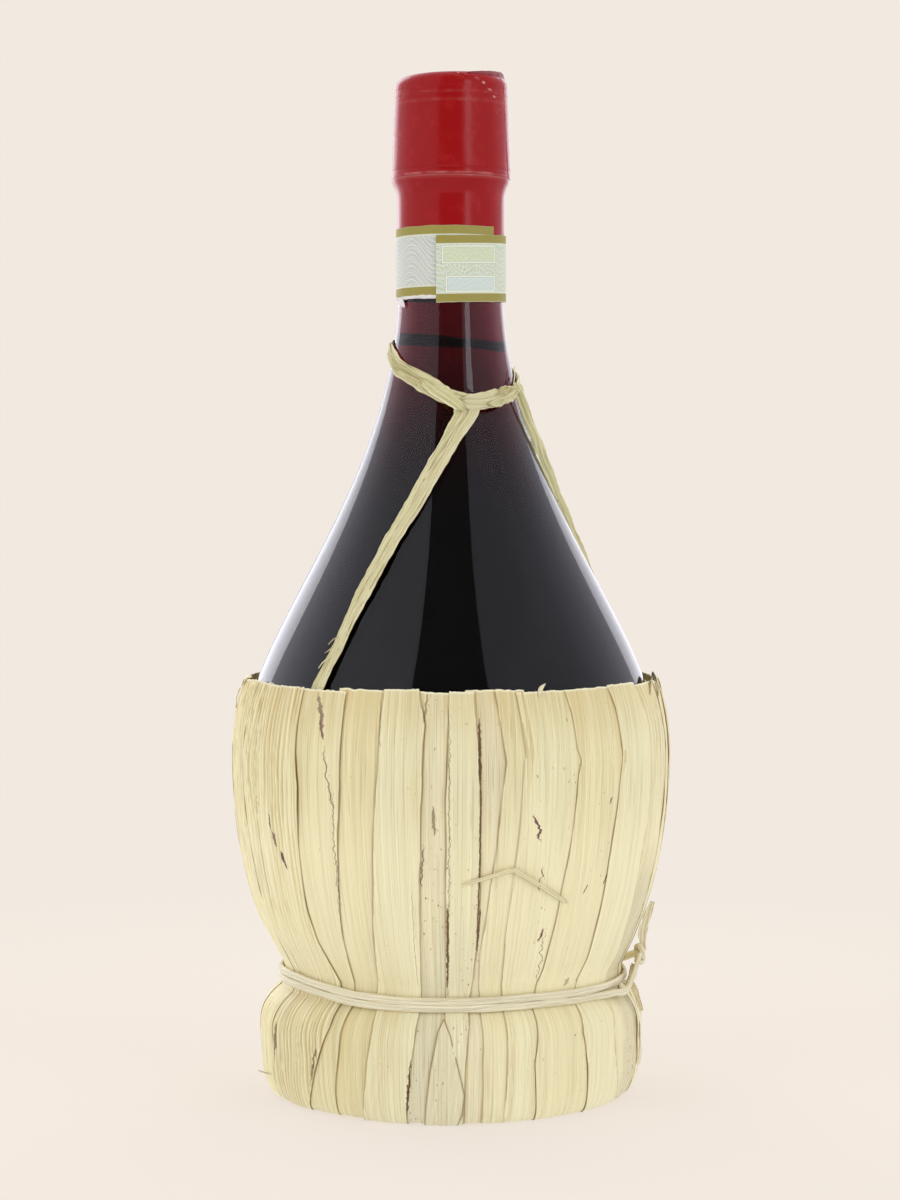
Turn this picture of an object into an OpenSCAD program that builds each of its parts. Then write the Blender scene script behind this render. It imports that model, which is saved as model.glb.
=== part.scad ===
/* [Glass flask] */
// Height of the glass lip above the table
flask_h = 254.4; // [248:0.1:262]
// Outer radius of the straight neck
neck_r = 13.1; // [12.9:0.05:13.6]
// Length of the straight neck, from the lip down to where the shoulder starts
neck_l = 50.4; // [48:0.1:54]
// Widest outer radius of the bulb
bulb_r = 52.25; // [50:0.25:55]
// Height above the table of the widest place of the bulb
bulb_z = 88; // [86:0.5:92]
// Height of the lowest point of the bulb above the table
bulb_bottom = 5; // [4:0.25:7]
// How squarely the bulb is rounded below, 2 being an ellipse
bulb_fullness = 2.28; // [2.1:0.01:2.3]
// How far up the bulb holds its width before the shoulder draws in
shoulder_hold = 28; // [24:1:32]
// How far down the neck holds its width before the shoulder swells out
shoulder_sweep = 52; // [46:1:56]
// Wall of the glass
glass_wall = 2.6; // [2:0.1:3]
// Radius of the bore that the cork fills
bore_r = 9.25; // [9:0.05:9.5]
// Depth of that bore below the lip
bore_h = 46; // [44:0.5:48]
// Height over which the bore opens into the hollow of the neck
bore_flare_h = 4; // [2:0.5:4]
// Height of the thick collar round the mouth
collar_h = 25.5; // [22:0.5:27]
// Radius of the collar at its lower edge
collar_low_r = 14.4; // [14:0.05:14.8]
// Radius of the collar near the lip
collar_top_r = 13.6; // [13.2:0.05:14]
// Rounding of the lip
lip_round = 2.2; // [1.5:0.1:3]
// How far the wine stands below the lip
ullage = 51.9; // [50.5:0.1:64]

/* [Cork] */
// Length of the cork
cork_l = 40; // [36:0.5:44]
// Radial clearance of the cork in the bore
cork_clearance = 0.05; // [0.02:0.01:0.1]
// How far the cork lies below the lip
cork_recess = 0.8; // [0.3:0.1:1.5]
// Bevel round each end of the cork
cork_bevel = 0.7; // [0.3:0.1:1.2]

/* [Capsule] */
// Thickness of the capsule film
capsule_wall = 0.4; // [0.3:0.05:0.5]
// Clearance of the lift-off cap round the collar
cap_clearance = 0.15; // [0.12:0.01:0.25]
// Clearance of the skirt that stays on the neck
skirt_clearance = 0.05; // [0.04:0.01:0.1]
// How far above the foot of the straight neck the skirt ends
skirt_rise = 0.4; // [0.2:0.1:4]
// Gap between the cap and the skirt at the tear line
tear_gap = 0.3; // [0.2:0.05:0.5]
// Thickness of the end disc
end_disc_t = 0.3; // [0.2:0.05:0.4]
// How far the film reaches over the edge of the end disc
cap_lip = 0.9; // [0.5:0.1:2]
// Rounding of the capsule's upper edge
cap_round = 2.9; // [2.4:0.1:3.4]
// Depth of the fine rings pressed round the cap
cap_groove = 0.12; // [0.05:0.01:0.15]

/* [Paper strip] */
// Height of the paper strip
strip_h = 17.4; // [14:0.1:18]
// How far the lower edge of its under end reaches below the straight neck
strip_drop = 3.4; // [1:0.1:4]
// How much lower the over end lies
strip_drift = 1.8; // [0:0.1:2.5]
// Thickness of the paper
strip_t = 0.12; // [0.1:0.01:0.2]
// How much the radius grows over one turn
strip_rise = 0.24; // [0.2:0.01:0.4]
// Angle that the strip goes round
strip_sweep = 426; // [380:1:440]

/* [Straw cover] */
// Height of the cut edge of the blades above the table
cover_h = 104.2; // [100:0.1:108]
// How much lower the cover is widest than the glass is
belly_drop = 3; // [0:0.5:6]
// Space between the glass and the inner face of the blades at the rim
rim_gap = 1.54; // [1.2:0.01:2.2]
// Space between the glass and the inner face of the blades at the belly
lining_gap = 1.4; // [1.2:0.05:1.8]
// Thickness of one blade of straw
leaf_t = 0.45; // [0.35:0.01:0.5]
// Depth from one layer of blades to the next
leaf_step = 0.6; // [0.55:0.01:0.65]
// How far each blade reaches under or over its neighbour, in degrees
leaf_lap = 1.2; // [0.6:0.1:1.4]
// How unevenly the blades are cut at the rim
leaf_ragged = 0.8; // [0:0.1:1.2]
// Space between the glass and the blades where the tie presses them in
waist_gap = 0.37; // [0.3:0.01:1]
// Height of the middle of the waist above the table
waist_z = 29.5; // [28.5:0.5:31]
// Half height of the band that the tie presses flat
waist_half = 2.6; // [2.4:0.1:3.2]
// How far the foot stands out beyond the waist
foot_flare = 4.65; // [3.5:0.05:6]
// Height of the widest place of the foot
foot_z = 12.5; // [11:0.5:14]
// How far the foot rolls in before it lies flat on the table
foot_roll = 6.25; // [5.5:0.25:7.25]
// Length of the tucked-in ends of the blades on the table
tuck_l = 11; // [6:0.5:13]
// Thickness of the cord that binds the blades inside the rim
binding_d = 1.1; // [0.8:0.05:1.2]
// How far the binding cord lies below the cut edge of the blades
binding_drop = 6.2; // [5.2:0.1:8.2]
// Radius of the pad under the bulb
pad_r = 26; // [20:0.5:27]
// Thickness of the pad under the bulb
pad_t = 1.2; // [0.8:0.1:1.5]

/* [Ties and braces] */
// Radius of the strand tied round the waist
tie_r = 0.65; // [0.5:0.01:0.7]
// Height from one turn of the tie to the next
tie_pitch = 1.8; // [1.75:0.01:2]
// Width of the strip looped round the neck
loop_w = 3.8; // [3:0.1:4.5]
// Thickness of the strip looped round the neck
loop_t = 1.1; // [0.8:0.1:1.2]
// How far the middle of the neck loop lies below the straight neck
loop_drop = 22; // [20:0.5:24]
// How much higher the loop lies at the back than in the middle
loop_back_rise = 9.3; // [7:0.1:10]
// How much higher the loop lies on the left than in the middle
loop_left_rise = 4.4; // [3:0.1:5]
// Width of one strand of the braces
brace_w = 2.1; // [1.6:0.1:2.4]
// Thickness of one strand of the braces
brace_t = 1.1; // [0.8:0.1:1.2]
// Direction in which the front braces leave the loop, in degrees
joint_a = -78; // [-84:1:-72]
// Direction in which the front braces pass under the rim, in degrees
front_rim_a = -128; // [-132:0.5:-124]
// How far apart the two front braces pass under the rim, in degrees
front_spread = 3.5; // [3.2:0.1:5]
// Direction in which the side brace leaves the loop, in degrees
side_a = -14; // [-18:1:-10]
// Direction in which the side brace passes under the rim, in degrees
side_rim_a = 23; // [20:1:26]
// Height of the stray blade's ends above the table
stray_z = 56; // [50:0.5:60]

/* [Hidden] */
seat = 0.3;
full_fn = 128;
glass_steps = 14;
straw_color = [0.91, 0.86, 0.63];
cord_color = [0.88, 0.82, 0.58];

// Each blade from the left edge of the front view round to the right: its width
// in degrees, and its layer, 0 being the outermost
leaves = [
  [7, 1], [17.4, 0], [13.1, 1], [9.3, 0], [12.5, 2], [6.9, 1], [8.2, 0], [5.9, 2],
  [4.4, 1], [17.2, 0], [11.8, 1], [14.4, 0], [14.3, 2], [9, 1], [12, 0], [7, 2],
  [13, 0], [10, 1], [6, 2], [14, 0], [11, 1], [8, 2], [15, 0], [9, 1],
  [12, 0], [6.5, 2], [13, 1], [10, 0], [8, 2], [14, 0], [9.5, 1], [12, 0],
  [7.5, 2], [11.1, 0]
];
leaf_count = len(leaves);
leaf_layers = 3;
first_seam = -157;

function leaf_name(i) = str("leaf_", i < 10 ? "0" : "", i);

// General curves
function unit(v) = v / norm(v);
function total(list, last) = last < 0 ? 0 : list[last][0] + total(list, last - 1);
function bezier(t, a, b, c, d) =
  pow(1 - t, 3) * a + 3 * pow(1 - t, 2) * t * b + 3 * (1 - t) * t * t * c + t * t * t * d;
function hermite(t, a, slope_a, b, slope_b) =
  (2 * t * t * t - 3 * t * t + 1) * a + (t * t * t - 2 * t * t + t) * slope_a
  + (3 * t * t - 2 * t * t * t) * b + (t * t * t - t * t) * slope_b;
function smooth(t) = let (u = min(1, max(0, t))) u * u * (3 - 2 * u);
function polar(a, r, z) = [r * cos(a), r * sin(a), z];

// The line beside a path at a distance, to its left going along it
function normal_at(path, i) =
  let (
    before = path[max(0, i - 1)],
    after = path[min(len(path) - 1, i + 1)],
    d = unit(after - before)
  ) [-d[1], d[0]];
function beside(path, distance) =
  [for (i = [0:len(path) - 1]) path[i] + distance * normal_at(path, i)];
function reversed(path) = [for (i = [len(path) - 1:-1:0]) path[i]];

// The outside of the glass, as a radius at each height
neck_z = flask_h - neck_l;
function shoulder_z(t) =
  bezier(t, bulb_z, bulb_z + shoulder_hold, neck_z - shoulder_sweep, neck_z);
function shoulder_r(t) = bezier(t, bulb_r, bulb_r, neck_r, neck_r);
function shoulder_t(z, low = 0, high = 1, turns = 18) =
  let (middle = (low + high) / 2)
  turns == 0 ? middle
  : shoulder_z(middle) < z ? shoulder_t(z, middle, high, turns - 1)
  : shoulder_t(z, low, middle, turns - 1);
function bulb_below_r(z) =
  bulb_r * pow(1 - pow((bulb_z - z) / (bulb_z - bulb_bottom), bulb_fullness), 1 / bulb_fullness);
function glass_r(z) =
  z >= neck_z ? neck_r : z >= bulb_z ? shoulder_r(shoulder_t(z)) : bulb_below_r(z);
function glass_slope(z) = (glass_r(z + 0.5) - glass_r(z - 0.5));
function glass_normal(a, z) = unit([cos(a), sin(a), -glass_slope(z)]);
function on_glass(a, z, lift) = polar(a, glass_r(z), z) + lift * glass_normal(a, z);

// Points of the glass from the bottom of the bulb up to the neck, as radius and height
bulb_path = [
  for (k = [0:glass_steps])
    let (a = 90 * k / glass_steps, power = 2 / bulb_fullness)
    [bulb_r * pow(sin(a), power), bulb_z - (bulb_z - bulb_bottom) * pow(cos(a), power)]
];
shoulder_path = [
  for (k = [1:glass_steps])
    let (t = k / glass_steps)
    [shoulder_r(t), shoulder_z(t)]
];
flask_path = concat(bulb_path, shoulder_path);
hollow_path = concat([[0, bulb_bottom + glass_wall]], [
  for (p = beside(flask_path, glass_wall)) if (p[0] > 1) p
]);

collar_z = flask_h - collar_h;
collar_turn = 1.2;
collar_bevel = 0.25;
bore_bevel = 0.5;
collar_path = [
  [neck_r, collar_z - collar_turn],
  [collar_low_r - collar_bevel, collar_z],
  [collar_low_r, collar_z + collar_turn / 2]
];
lip_path = [
  for (a = [0:15:90])
    [collar_top_r - lip_round * (1 - cos(a)), flask_h - lip_round * (1 - sin(a))]
];

// Wine
wine_clearance = 0.05;
wine_z = flask_h - ullage;
wine_path = [
  for (p = beside(flask_path, glass_wall + wine_clearance))
    if (p[0] > 1 && p[1] < wine_z - 0.5) p
];

// Cork
cork_top = flask_h - cork_recess;
cork_r = bore_r - cork_clearance;

// Capsule: the cap over the collar, its end disc, and the skirt below the tear line
end_gap = 0.2;
disc_z = flask_h + end_gap;
disc_gap = 0.05;
cap_top = disc_z + end_disc_t + disc_gap + capsule_wall;
tear_z = collar_z + collar_turn / 2 + tear_gap;
cap_low_r = collar_low_r + cap_clearance + capsule_wall;
cap_top_r = collar_top_r + cap_clearance + capsule_wall;
cap_side_h = cap_top - cap_round - tear_z;
end_disc_r = cap_top_r - cap_round;
cap_mouth_r = end_disc_r - cap_lip;
groove_half = 0.25;
cap_groove_heights = [1.4, 2.9, 19.8, 21.6];
function cap_side_r(h) = cap_low_r + (cap_top_r - cap_low_r) * min(1, h / cap_side_h);
cap_side = concat(
  [[cap_low_r, tear_z]],
  [
    for (h = cap_groove_heights)
      if (h < cap_side_h - 1)
        each [
          [cap_side_r(h - groove_half), tear_z + h - groove_half],
          [cap_side_r(h) - cap_groove, tear_z + h],
          [cap_side_r(h + groove_half), tear_z + h + groove_half]
        ]
  ]
);
function cap_edge(radius) = [
  for (a = [0:15:90])
    [cap_top_r - cap_round + radius * cos(a), cap_top - cap_round + radius * sin(a)]
];
cap_outside = concat(cap_side, cap_edge(cap_round), [[cap_mouth_r, cap_top]]);
cap_inside = concat(
  [[cap_low_r - capsule_wall, tear_z]],
  cap_edge(cap_round - capsule_wall),
  [[cap_mouth_r, cap_top - capsule_wall]]
);
skirt_bend = 0.4;
skirt_path = [
  [neck_r, neck_z + skirt_rise],
  [neck_r, collar_z - collar_turn - skirt_bend],
  [neck_r + skirt_bend * 0.4, collar_z - collar_turn],
  [collar_low_r - collar_bevel - 0.1, collar_z - 0.1],
  [collar_low_r + 0.05, collar_z + 0.15]
];

// Paper strip: it starts under itself at the front right and goes round to the left
strip_low_r = neck_r + skirt_clearance + capsule_wall + 0.05;
strip_start = -39;
strip_segments = 72;
strip_z = neck_z - strip_drop;
function strip_ring(k) =
  let (
    u = k / strip_segments,
    a = strip_start - strip_sweep * u,
    r = strip_low_r + strip_rise * strip_sweep * u / 360,
    z = strip_z - strip_drift * smooth((u - 0.3) / 0.45)
  ) [
    polar(a, r, z), polar(a, r + strip_t, z),
    polar(a, r + strip_t, z + strip_h), polar(a, r, z + strip_h)
  ];

// The outside of the straw cover, as a radius at each height
leaf_stack = (leaf_layers - 1) * leaf_step + leaf_t;
cover_belly_r = bulb_r + lining_gap + leaf_stack;
cover_belly_z = bulb_z - belly_drop;
cover_rim_r = glass_r(cover_h) + rim_gap + leaf_stack;
waist_top = waist_z + waist_half;
waist_low = waist_z - waist_half;
waist_r = glass_r(waist_top) + waist_gap + leaf_stack;
foot_r = waist_r + foot_flare;
foot_contact_r = foot_r - foot_roll;
tuck_r = foot_contact_r - tuck_l;
belly_h = cover_belly_z - waist_top;
rim_h = cover_h - cover_belly_z;
flare_h = waist_low - foot_z;
waist_slope_above = glass_slope(waist_top);
waist_slope_below = -1.3;
rim_slope = glass_slope(cover_h);
function cover_r(z) =
  z >= cover_belly_z ? hermite(
    (z - cover_belly_z) / rim_h, cover_belly_r, 0, cover_rim_r, rim_slope * rim_h)
  : z >= waist_top ? hermite(
    (z - waist_top) / belly_h, waist_r, waist_slope_above * belly_h, cover_belly_r, 0)
  : z >= waist_low ? waist_r
  : z >= foot_z ? hermite(
    (z - foot_z) / flare_h, foot_r, 0, waist_r, waist_slope_below * flare_h)
  : foot_contact_r + (foot_r - foot_contact_r) * sqrt(max(0, 1 - pow((foot_z - z) / foot_z, 2)));
function cover_slope(z) = (cover_r(z + 0.5) - cover_r(z - 0.5));
function cover_normal(a, z) = unit([cos(a), sin(a), -cover_slope(z)]);
function on_cover(a, z, lift) = polar(a, cover_r(z), z) + lift * cover_normal(a, z);

// Points of the outermost blades from the tucked-in end up to the rim
foot_steps = 4;
belly_steps = 7;
rim_steps = 4;
function cover_path(top) = concat(
  [[tuck_r, 0], [foot_contact_r, 0]],
  [
    for (a = [18:18:90])
      [
        foot_contact_r + (foot_r - foot_contact_r) * sin(a),
        foot_z * (1 - cos(a))
      ]
  ],
  [for (k = [1:foot_steps]) let (z = foot_z + flare_h * k / foot_steps) [cover_r(z), z]],
  [for (k = [0:belly_steps]) let (z = waist_top + belly_h * k / belly_steps) [cover_r(z), z]],
  [
    for (k = [1:rim_steps])
      let (z = cover_belly_z + (top - cover_belly_z) * k / rim_steps)
      [cover_r(z), z]
  ]
);

// Foot ring: as thick as fits between the bulb, the blades and the tucked-in ends
function ring_center(section) =
  [foot_r - leaf_stack - seat - section, leaf_stack + seat + section];
function ring_room(section) =
  let (c = ring_center(section))
  min([for (p = bulb_path) norm(p - c)]) - section - seat;
function ring_fit(low, high, turns = 14) =
  let (middle = (low + high) / 2)
  turns == 0 ? low
  : ring_room(middle) > 0 ? ring_fit(middle, high, turns - 1)
  : ring_fit(low, middle, turns - 1);
ring_least = foot_z / 4;
ring_most = foot_r / 3;
ring_section = ring_fit(ring_least, ring_most);

// Binding cord, midway between the glass and the blades
binding_z = cover_h - binding_drop;
binding_r = (glass_r(binding_z) + cover_r(binding_z) - leaf_stack) / 2;

// A tube or strip along points: frames is a list of [center, outward direction,
// half width, half thickness]
function direction_at(frames, i, closed) =
  let (n = len(frames))
  closed ? unit(frames[(i + 1) % n][0] - frames[(i + n - 1) % n][0])
  : unit(frames[min(n - 1, i + 1)][0] - frames[max(0, i - 1)][0]);
function ring_at(frames, i, sides, closed) =
  let (
    d = direction_at(frames, i, closed),
    raw = frames[i][1],
    outward = unit(raw - (raw * d) * d),
    across = cross(d, outward)
  ) [
    for (k = [0:sides - 1])
      frames[i][0] + outward * frames[i][3] * cos(360 * k / sides)
        + across * frames[i][2] * sin(360 * k / sides)
  ];
module strand(frames, sides = 6, closed = false) {
  n = len(frames);
  points = [for (i = [0:n - 1]) each ring_at(frames, i, sides, closed)];
  last = closed ? n - 1 : n - 2;
  walls = [
    for (i = [0:last])
      for (k = [0:sides - 1])
        let (
          a = i * sides + k,
          b = i * sides + (k + 1) % sides,
          c = ((i + 1) % n) * sides + (k + 1) % sides,
          d = ((i + 1) % n) * sides + k
        )
        each [[a, d, c], [a, c, b]]
  ];
  ends = closed ? [] : [
    [for (k = [0:sides - 1]) k],
    [for (k = [sides - 1:-1:0]) (n - 1) * sides + k]
  ];
  polyhedron(points = points, faces = concat(walls, ends), convexity = 8);
}

// Waist tie: one strand, two turns, with both ends lifted into the knot
knot_a = -5;
knot_z = waist_z + 4.6;
knot_big = 1.5;
knot_small = 0.8;
knot_strand = 0.42;
knot_room = 0.7;
knot_lift = knot_small + knot_strand + seat + knot_room;
loop_rings = 24;
tie_turns = 2;
tie_lift = tie_r + seat + waist_r * (1 / cos(180 / loop_rings) - 1);
tie_cross_gap = 0.6;
tie_cross_start = 0.96;
tie_cross_part = 0.035;
tie_cross_lift = tie_lift + 2 * tie_r + tie_cross_gap;
ring_step = 360 / loop_rings;
tie_rings = tie_turns * loop_rings - 1;
tie_round = [
  for (k = [0:tie_rings])
    let (
      u = k / tie_rings,
      a = knot_a + (k + 0.5) * ring_step,
      z = waist_z + tie_pitch * (1 - (k + 0.5) / loop_rings),
      lift = tie_lift + (tie_cross_lift - tie_lift) * smooth((u - tie_cross_start) / tie_cross_part)
    )
    [polar(a, waist_r + lift, z), polar(a, 1, 0), tie_r, tie_r]
];
knot_center = polar(knot_a, cover_r(knot_z) + knot_lift, knot_z);
knot_side = polar(knot_a + 90, 1, 0);
knot_reach = knot_big + knot_small + knot_strand + 0.1;
function knot_end(side, out) =
  [knot_center + side * (knot_reach + out) * knot_side, polar(knot_a, 1, 0), tie_r, tie_r];
tie_frames = concat([knot_end(1, 0), knot_end(1, 2 * tie_r)], tie_round,
  [knot_end(-1, 2 * tie_r), knot_end(-1, 0)]);
tie_gap = min([
  for (i = [0:len(tie_frames) - 1])
    for (j = [i + 8:1:len(tie_frames) - 1])
      norm(tie_frames[i][0] - tie_frames[j][0])
]) - 2 * tie_r;
echo("Least gap of the waist tie to itself", tie_gap);

// Waist knot: a closed trefoil, the form of an overhand knot drawn tight
knot_rings = 48;
function knot_point(t) =
  let (
    r = knot_big + knot_small * cos(3 * t),
    flat = [r * cos(2 * t), r * sin(2 * t)]
  )
  knot_center + knot_side * flat[0] + [0, 0, flat[1]]
    + polar(knot_a, knot_small * sin(3 * t), 0);
knot_frames = [
  for (k = [0:knot_rings - 1])
    let (t = 360 * k / knot_rings)
    [
      knot_point(t),
      unit(knot_point(t) - knot_center + polar(knot_a, 0.3, 0)),
      knot_strand, knot_strand
    ]
];

// A strip laid over the cover through stations of angle, height and lift
function station(stations, u) =
  let (
    last = len(stations) - 1,
    s = min(last - 0.0001, u * last),
    i = floor(s),
    t = s - i,
    a = stations[max(0, i - 1)],
    b = stations[i],
    c = stations[i + 1],
    d = stations[min(last, i + 2)]
  ) hermite(t, b, (c - a) / 2, c, (d - b) / 2);
function laid_on_cover(stations, steps, width, thick) = [
  for (k = [0:steps])
    let (p = station(stations, k / steps))
    [on_cover(p[0], p[1], p[2]), cover_normal(p[0], p[1]), width / 2, thick / 2]
];
function laid_on_glass(stations, steps, width, thick) = [
  for (k = [0:steps])
    let (p = station(stations, k / steps))
    [on_glass(p[0], p[1], p[2]), glass_normal(p[0], p[1]), width / 2, thick / 2]
];

// Tails of the waist tie, above and below the knot
tail_w = 1.6;
tail_t = 0.6;
tail_lift = tail_t / 2 + seat;
tail_up_stations = [
  [knot_a, knot_z + knot_reach + 0.2, knot_lift],
  [knot_a + 1, knot_z + knot_reach + 4, tail_lift + 0.9],
  [knot_a + 0.5, knot_z + knot_reach + 8, tail_lift + 0.5],
  [knot_a - 1.5, knot_z + knot_reach + 11.5, tail_lift + 1.5]
];
tail_out = tie_cross_lift + tie_r + tail_t + 0.7;
tail_down_stations = [
  [knot_a, knot_z - knot_reach - 0.2, tail_out],
  [knot_a - 0.6, waist_low + 0.5, tail_out],
  [knot_a - 1.4, foot_z + 8.5, tail_lift + 0.8],
  [knot_a - 2.6, foot_z + 4, tail_lift + 0.3]
];

// A stray blade bent over across the front
stray_w = 1.5;
stray_t = 0.4;
stray_lift = stray_t / 2 + seat;
stray_stations = [
  [-86, stray_z + 3.2, stray_lift],
  [-78, stray_z + 5.4, stray_lift + 0.5],
  [-74, stray_z + 6.2, stray_lift + 0.8],
  [-66, stray_z + 3, stray_lift + 0.4],
  [-58.5, stray_z - 0.8, stray_lift]
];

// Neck loop: a flat strip lying slantwise round the shoulder, dipped at the joint
loop_z = neck_z - loop_drop;
joint_dip = 1.6;
joint_reach = 16;
loop_lift = loop_t / 2 + seat;
loop_steps = 48;
function loop_height(a) =
  loop_z + loop_back_rise * sin(a) - loop_left_rise * cos(a)
    - joint_dip * exp(-pow((a - joint_a) / joint_reach, 2));
neck_loop_frames = [
  for (k = [0:loop_steps - 1])
    let (a = 180 - 360 * k / loop_steps, z = loop_height(a))
    [on_glass(a, z, loop_lift), glass_normal(a, z), loop_w / 2, loop_t / 2]
];

// Hitches: a second strip over the loop at the joint, and one at the right
hitch_lift = loop_lift + loop_t + 0.2;
hitch_stations = [
  for (s = [[-14, 0.5], [-7, 0.2], [4, 0], [16, 0.4], [30, 0.6]])
    [joint_a + s[0], loop_height(joint_a + s[0]) + s[1], hitch_lift]
];
side_hitch_stations = [
  for (s = [[-9, 1.6], [-3, 0.4], [3, -0.3], [9, 0.8]])
    [side_a + s[0], loop_height(side_a + s[0]) + s[1], hitch_lift]
];

// Braces: each hooks over the loop, runs straight to the rim and ends on the binding cord
brace_lift = brace_t / 2 + seat;
brace_over_lift = hitch_lift + loop_t / 2 + brace_t / 2 + 0.2;
brace_end_z = binding_z + binding_d / 2 + seat;
brace_start_drop = 1.6;
brace_start_lift = 0.6;
brace_tuck = 2.2;
function angle_of(p) = atan2(p[1], p[0]);
function out_to(p, r) = let (a = angle_of(p)) polar(a, max(norm([p[0], p[1]]), r), p[2]);
function brace_frames(top_a, hook_h, rim_a, steps) =
  let (
    top_z = loop_height(top_a),
    start_z = top_z - loop_w / 2 - brace_start_drop,
    start = on_glass(top_a, start_z, brace_lift + brace_start_lift),
    finish = on_glass(rim_a, cover_h, brace_lift)
  )
  concat(
    [
      for (s = [[hook_h, 0], [hook_h * 0.4, 0.2], [-loop_w / 2, 0.1]])
        let (z = top_z + s[0])
        [
          on_glass(top_a, z, brace_over_lift - s[1]), glass_normal(top_a, z),
          brace_w / 2, brace_t / 2
        ]
    ],
    [
      for (k = [0:steps])
        let (
          p = start + (finish - start) * k / steps,
          q = out_to(p, norm([on_glass(0, p[2], brace_lift)[0], 0])),
          a = angle_of(q)
        )
        [q, glass_normal(a, q[2]), brace_w / 2, brace_t / 2]
    ],
    [
      for (z = [cover_h - brace_tuck, brace_end_z])
        [on_glass(rim_a, z, brace_lift), glass_normal(rim_a, z), brace_w / 2, brace_t / 2]
    ]
  );

module glass_flask() {
  color([0.75, 0.79, 0.78, 0.35])
    rotate_extrude($fn = full_fn)
      polygon(concat(
        flask_path, collar_path, lip_path,
        [[bore_r + bore_bevel, flask_h], [bore_r, flask_h - bore_bevel]],
        [[bore_r, flask_h - bore_h]],
        [[neck_r - glass_wall, flask_h - bore_h - bore_flare_h]],
        reversed(hollow_path)
      ));
}

module wine() {
  color([0.2, 0.01, 0.06])
    rotate_extrude($fn = full_fn)
      polygon(concat(
        [[0, bulb_bottom + glass_wall + wine_clearance]], wine_path,
        [[glass_r(wine_z) - glass_wall - wine_clearance, wine_z], [0, wine_z]]
      ));
}

module cork() {
  color([0.76, 0.6, 0.42])
    rotate_extrude($fn = full_fn)
      polygon([
        [0, cork_top - cork_l], [cork_r - cork_bevel, cork_top - cork_l],
        [cork_r, cork_top - cork_l + cork_bevel], [cork_r, cork_top - cork_bevel],
        [cork_r - cork_bevel, cork_top], [0, cork_top]
      ]);
}

module capsule_cap() {
  color([0.74, 0.02, 0.05])
    rotate_extrude($fn = full_fn)
      polygon(concat(cap_outside, reversed(cap_inside)));
}

module capsule_disc() {
  color([0.66, 0.02, 0.04])
    translate([0, 0, disc_z])
      cylinder(r = end_disc_r, h = end_disc_t, $fn = full_fn);
}

module capsule_skirt() {
  color([0.74, 0.02, 0.05])
    rotate_extrude($fn = full_fn)
      polygon(concat(
        beside(skirt_path, -skirt_clearance),
        reversed(beside(skirt_path, -skirt_clearance - capsule_wall))
      ));
}

module neck_strip() {
  rings = [for (k = [0:strip_segments]) strip_ring(k)];
  corners = 4;
  walls = [
    for (i = [0:strip_segments - 1])
      for (k = [0:corners - 1])
        let (
          a = i * corners + k,
          b = i * corners + (k + 1) % corners,
          c = (i + 1) * corners + (k + 1) % corners,
          d = (i + 1) * corners + k
        )
        each [[a, b, c], [a, c, d]]
  ];
  last = strip_segments * corners;
  color([0.86, 0.86, 0.72])
    polyhedron(
      points = [for (r = rings) each r],
      faces = concat(walls, [[3, 2, 1, 0], [last, last + 1, last + 2, last + 3]]),
      convexity = 8
    );
}

module neck_loop() {
  color(cord_color) strand(neck_loop_frames, closed = true);
}

module loop_hitch() {
  color(cord_color) strand(laid_on_glass(hitch_stations, 12, loop_w * 0.8, loop_t));
}

module front_brace_upper() {
  color(cord_color) strand(brace_frames(joint_a + 3, 1.4, front_rim_a, 14));
}

module front_brace_lower() {
  color(cord_color) strand(brace_frames(joint_a - 6, 1, front_rim_a - front_spread, 14));
}

module side_brace() {
  color(cord_color) strand(brace_frames(side_a, 1.4, side_rim_a, 14));
}

module side_hitch() {
  color(cord_color) strand(laid_on_glass(side_hitch_stations, 8, loop_w * 0.6, loop_t));
}

module binding_cord() {
  color(cord_color)
    rotate_extrude($fn = full_fn)
      translate([binding_r, binding_z])
        circle(d = binding_d, $fn = 24);
}

module foot_ring() {
  color([0.8, 0.72, 0.45])
    rotate_extrude($fn = full_fn)
      translate(ring_center(ring_section))
        circle(r = ring_section, $fn = 48);
}

module base_pad() {
  under_glass = beside([for (p = bulb_path) if (p[0] < pad_r) p], -seat);
  under_pad = beside([for (p = bulb_path) if (p[0] < pad_r) p], -seat - pad_t);
  color([0.8, 0.72, 0.45])
    rotate_extrude($fn = full_fn)
      polygon(concat(
        [for (p = under_pad) [max(0, p[0]), p[1]]],
        reversed([for (p = under_glass) [max(0, p[0]), p[1]]])
      ));
}

module waist_tie() {
  color(cord_color) strand(tie_frames);
}

module waist_knot() {
  color(cord_color) strand(knot_frames, closed = true);
}

module tail_up() {
  color(cord_color) strand(laid_on_cover(tail_up_stations, 12, tail_w, tail_t));
}

module tail_down() {
  color(cord_color) strand(laid_on_cover(tail_down_stations, 14, tail_w, tail_t));
}

module stray_blade() {
  color(straw_color) strand(laid_on_cover(stray_stations, 12, stray_w, stray_t));
}

// One blade: down the belly, in under the tie, out over the foot and in beneath it
module leaf(i) {
  width = leaves[i - 1][0];
  depth = leaves[i - 1][1] * leaf_step;
  start = first_seam + total(leaves, i - 2);
  path = cover_path(cover_h + leaf_ragged * sin(97 * i));
  shade = 1 - 0.03 * (i % 4);
  color(shade * straw_color)
    rotate([0, 0, start - leaf_lap])
      rotate_extrude(angle = width + 2 * leaf_lap, $fn = full_fn)
        polygon(concat(beside(path, depth), reversed(beside(path, depth + leaf_t))));
}

glass_flask();
wine();
cork();
capsule_cap();
capsule_disc();
capsule_skirt();
neck_strip();
neck_loop();
loop_hitch();
front_brace_upper();
front_brace_lower();
side_brace();
side_hitch();
binding_cord();
foot_ring();
base_pad();
waist_tie();
waist_knot();
tail_up();
tail_down();
stray_blade();
for (i = [1:leaf_count]) {
  leaf(i);
}
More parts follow.
